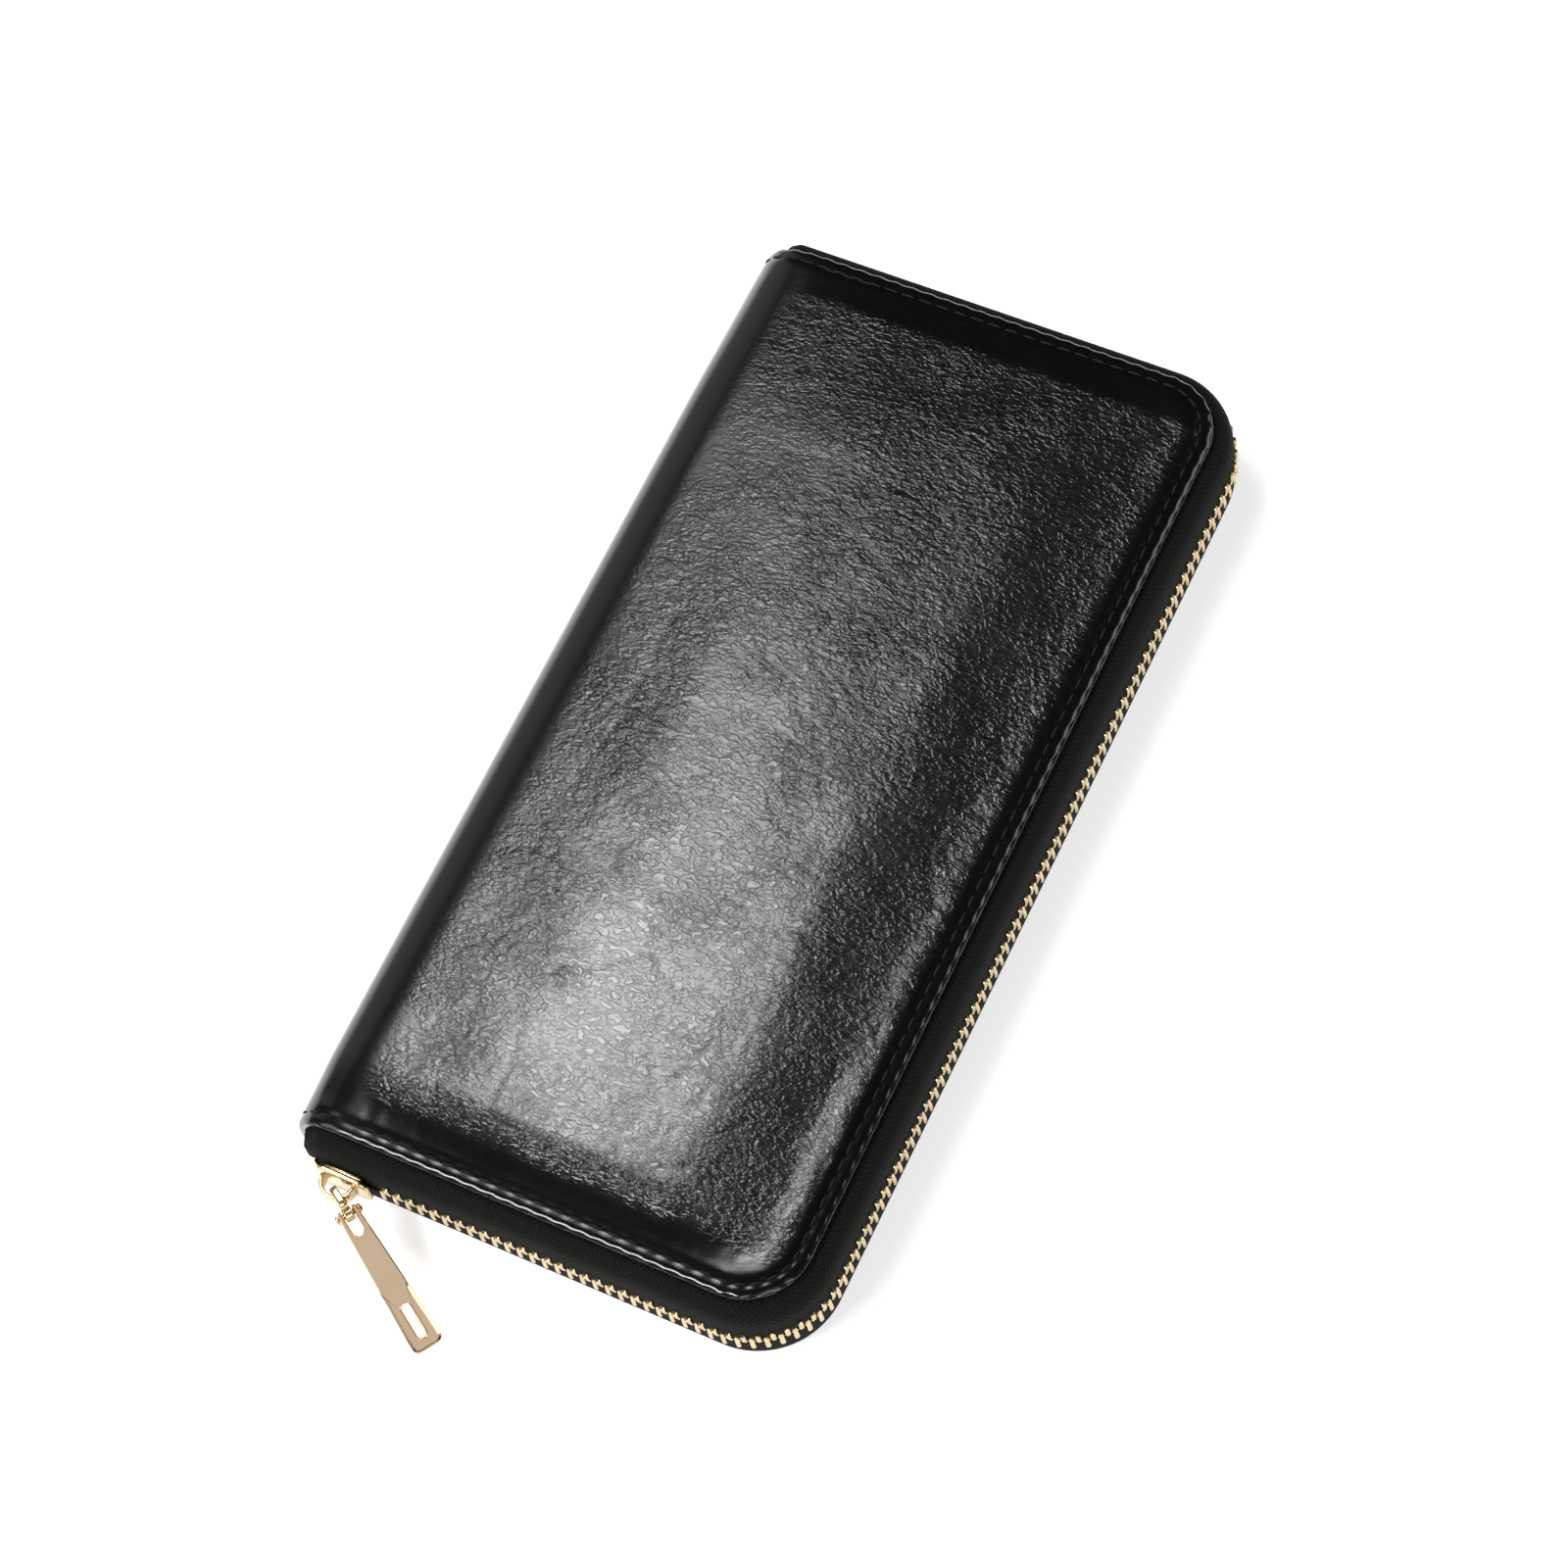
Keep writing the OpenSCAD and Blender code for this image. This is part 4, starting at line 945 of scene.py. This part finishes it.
# ---------- coin zip tapes ----------
# Narrow black tape sewn along the pocket's mouth and turned up to its small metal teeth.
coin_lo, coin_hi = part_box("coin_zip_back_tape")
coin_mid = coin_hi.x - 0.00025
curve = np.array([(coin_lo.x, coin_lo.z + 0.00025), (coin_mid - 0.0006, coin_lo.z + 0.00025), (coin_mid, coin_lo.z + 0.0006), (coin_mid, coin_hi.z)])
line = weights @ curve
ahead = np.gradient(line, axis=0)
ahead /= np.linalg.norm(ahead, axis=1, keepdims=True)
coin_profile = np.concatenate([line + 0.00022 * ahead[:, ::-1] * (-1, 1), (line - 0.00022 * ahead[:, ::-1] * (-1, 1))[::-1]])
coin_run = np.linspace(coin_lo.y, coin_hi.y, 40)
p, f = carried(coin_profile, coin_run)
run_mark = np.repeat(coin_run, len(coin_profile))
across_mark = np.tile(np.concatenate([[0], np.cumsum(np.hypot(*np.diff(coin_profile, axis=0).T))]), 40)
for name, node, flip in (("coin_zip_back_cloth", "coin_zip_back_tape", False), ("coin_zip_front_cloth", "coin_zip_front_tape", True)):
    piece = build(name, p * mirror + (0, 0, 2 * mid_z) if flip else p, [g[:, ::-1] for g in f] if flip else f,
                  tape_cloth, run=run_mark, across=across_mark)
    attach(piece, "spine")
    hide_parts(node)


# ---------- end gussets ----------
# Folded twill between each cover and the coin pocket at both ends, which keeps the cards in when the
# wallet stands open. The fold grows deeper away from the spine.
gus_lo, gus_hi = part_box("gusset_back_slider_end")
depth_y = gus_hi.y - gus_lo.y
knots = np.array([(0.00, 0.00), (0.10, 0.00), (0.42, 0.18), (0.70, 0.36), (0.62, 0.48), (0.60, 0.56), (0.72, 0.74), (0.90, 0.97), (1.00, 1.00)])
t = np.linspace(0, 1, 41)
spread = np.concatenate([[0], np.cumsum(np.hypot(*np.diff(knots, axis=0).T))])
spread /= spread[-1]
gy, gz = np.interp(t, spread, knots[:, 0]), np.interp(t, spread, knots[:, 1])
kernel = np.array([1, 2, 3, 2, 1]) / 9
gy = np.concatenate([gy[:2], np.convolve(gy, kernel, "valid"), gy[-2:]])
gz = np.concatenate([gz[:2], np.convolve(gz, kernel, "valid"), gz[-2:]])
line = np.stack([gus_lo.y + gy * (depth_y - 0.0003) + 0.00015, gus_lo.z + 0.0003 + gz * (gus_hi.z - gus_lo.z - 0.0006)], -1)
ahead = np.gradient(line, axis=0)
ahead /= np.linalg.norm(ahead, axis=1, keepdims=True) + 1e-12
sheet_line = np.concatenate([line + 0.00018 * ahead[:, ::-1] * (-1, 1), (line - 0.00018 * ahead[:, ::-1] * (-1, 1))[::-1]])
xs = np.linspace(gus_lo.x, gus_hi.x, 30)
deep = (0.55 + 0.45 * (xs - xs[0]) / (xs[-1] - xs[0]))[:, None]
gyy = sheet_line[None, :, 0] - (1 - deep) * 0.0012 * np.sin(math.pi * np.tile(np.concatenate([t, t[::-1]]), (30, 1))) \
    + 0.00008 * np.sin(xs * 900)[:, None]
solid = np.stack([xs[:, None] + 0 * gyy, gyy, sheet_line[None, :, 1] + 0 * gyy], -1)
number = np.arange(solid[..., 0].size).reshape(solid.shape[:2])
ring = np.concatenate([number, number[:, :1]], 1)
gusset_points, gusset_faces = solid.reshape(-1, 3), [weave(ring)[:, ::-1], number[:1, ::-1], number[-1:]]


def hang_gusset(piece, side, body):
    """Bakes its placement into its points, on both covers alike; it rides on no body."""
    if side == "back":
        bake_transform(piece)
    else:
        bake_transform(piece)


for end, sign in (("slider_end", 1), ("far_end", -1)):
    pts = gusset_points * (1, sign, 1)
    fcs = gusset_faces if sign > 0 else [g[:, ::-1] for g in gusset_faces]
    for piece in both_covers(f"gusset_{end}", [f"gusset_back_{end}"], pts, fcs, twill, "lining", hang_gusset):
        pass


# ---------- small metal parts ----------
# The end stops of both zips, and the coin zip's teeth, slider, hoop and pull, in the same plating. The
# stops and the slider keep their worked shape, with the sharp edges taken off.
for node in ("lower_top_stop", "upper_top_stop", "bottom_stop", "coin_zip_stops", "coin_zip_back_teeth", "coin_zip_front_teeth",
             "coin_slider_body", "coin_slider_hoop", "coin_pull_tab"):
    part = frame["nodes"][node]
    part.data.materials.clear()
    part.data.materials.append(gold)
    if "teeth" not in node:
        bevel = part.modifiers.new("edges", "BEVEL")
        bevel.width, bevel.segments, bevel.limit_method = 0.00015, 2, "ANGLE"


# ---------- spine filling ----------
# A strip of grey foam bent inside the spine's leather, with black twill glued over it.
def half_round(node, thick, steps=25):
    """A thin shell bent round the spine's axis, and its width along the bend. Its depth w and half
    height h give the radius r = (h^2 + w^2) / 2w; two arcs, at r and at r less the thickness, run
    between the angles where x reaches the open side, and are carried along Y."""
    lo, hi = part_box(node)
    w, h = hi.x - lo.x, (hi.z - lo.z) / 2
    r = (h * h + w * w) / (2 * w)
    first = math.acos((w - r) / r)
    turn = np.linspace(first, 2 * math.pi - first, steps)
    arc = np.stack([np.cos(turn), np.sin(turn)], -1)
    outline = np.concatenate([arc * r, (arc * (r - thick))[::-1]]) + (lo.x + r, (lo.z + hi.z) / 2)
    points, faces = carried(outline, np.linspace(lo.y, hi.y, 31))
    return points, [g[:, ::-1] for g in faces], (2 * (math.pi - first) * (r - thick / 2), hi.y - lo.y)


def paint_foam(wire, place):
    cell = wire.add("ShaderNodeTexVoronoi", (), {"Vector": place, "Scale": 1800.0}, out="Distance")
    # the colour is darker at the middle of each cell, where the bump dips: painted shade in the foam's pores
    return {"Base Color": cell.tint((0.03, 0.03, 0.03, 1), (0.08, 0.08, 0.08, 1)), "Roughness": 0.85 + 0.1 * cell,
            "height": cell * 0.0001}


foam_points, foam_faces, _ = half_round("spine_pad", 0.001)
spine_foam = build("spine_foam", foam_points, foam_faces, material("grey_foam", paint_foam))
lining_points, lining_faces, bent_flat = half_round("spine_lining", 0.0005)
spine_cloth = build("spine_lining_cloth", lining_points, lining_faces, twill)
for piece, node in ((spine_foam, "spine_pad"), (spine_cloth, "spine_lining")):
    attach(piece, "spine")
    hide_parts(node)


# ---------- boards ----------
# Grey pasteboard in each cover, out of sight between the leather and the lining.
def paint_board(wire, place):
    pulp = wire.noise(place, 700.0, 5.0, 0.7)
    return {"Base Color": pulp.tint((0.30, 0.24, 0.17, 1), (0.45, 0.37, 0.27, 1)), "Roughness": 0.8 + 0.15 * pulp}


pasteboard = material("pasteboard", paint_board)
for node in ("back_board", "front_board"):
    frame["nodes"][node].data.materials.clear()
    frame["nodes"][node].data.materials.append(pasteboard)


# ---------- floor and light ----------
# A plain pale floor that runs out of sight, and soft studio light from large panels.
def paint_floor(wire, place):
    speck = wire.noise(place, 3.0, 2.0)
    return {"Base Color": speck.tint((0.86, 0.86, 0.86, 1), (0.89, 0.89, 0.89, 1)), "Roughness": 0.75 + 0.1 * speck}


floor = build("floor", np.array([(-6, -6, 0), (6, -6, 0), (6, 6, 0), (-6, 6, 0)], float),
              [np.array([[0, 1, 2, 3]])], material("pale_floor", paint_floor, Specular_IOR_Level=0.1,
                                                  Emission_Color=(1, 1, 1, 1), Emission_Strength=0.46), smooth=False)
world = bpy.data.worlds.new("studio")
world.use_nodes = True
world.node_tree.nodes["Background"].inputs["Color"].default_value = (1, 1, 1, 1)
world.node_tree.nodes["Background"].inputs["Strength"].default_value = 0.045
bpy.context.scene.world = world
bpy.context.scene.view_settings.view_transform = "Standard"


def panel_light(name, place, aim, size, power):
    """A soft rectangular lamp at place, turned to aim, that no camera sees."""
    lamp = bpy.data.lights.new(name, "AREA")
    lamp.shape, lamp.size, lamp.size_y, lamp.energy = "RECTANGLE", size[0], size[1], power
    made = bpy.data.objects.new(name, lamp)
    made.location = place
    made.rotation_mode = "QUATERNION"
    made.rotation_quaternion = (Vector(aim) - Vector(place)).to_track_quat("-Z", "Y")
    made.visible_camera = False
    bpy.context.scene.collection.objects.link(made)


panel_light("key", (-0.180, 0.055, 0.50), (-0.02, -0.05, 0), (0.09, 0.09), 0.42)
panel_light("key halo", (-0.180, 0.075, 0.515), (-0.02, -0.05, 0), (0.20, 0.22), 1.10)
panel_light("sheen", (-0.205, 0.20, 0.52), (-0.02, 0.03, 0), (0.10, 0.32), 0.36)
panel_light("spine glow", (-1.0, 0.42, 0.42), (-0.04, 0, 0), (0.8, 0.7), 0.8)
panel_light("near edge", (-0.30, -0.74, 0.92), (0, -0.05, 0), (0.50, 0.26), 8.5)
panel_light("pull", (0.385, -0.377, 1.1), (-0.02, -0.11, 0), (0.36, 0.36), 0.27)
panel_light("front fill", (0.85, -0.98, 0.90), (0, 0, 0), (1.1, 0.8), 9)
panel_light("left fill", (-0.85, -0.75, 0.85), (0, 0, 0), (0.9, 0.7), 4.5)
panel_light("far fill", (0.85, 0.85, 0.85), (0, 0, 0), (0.9, 0.8), 6)
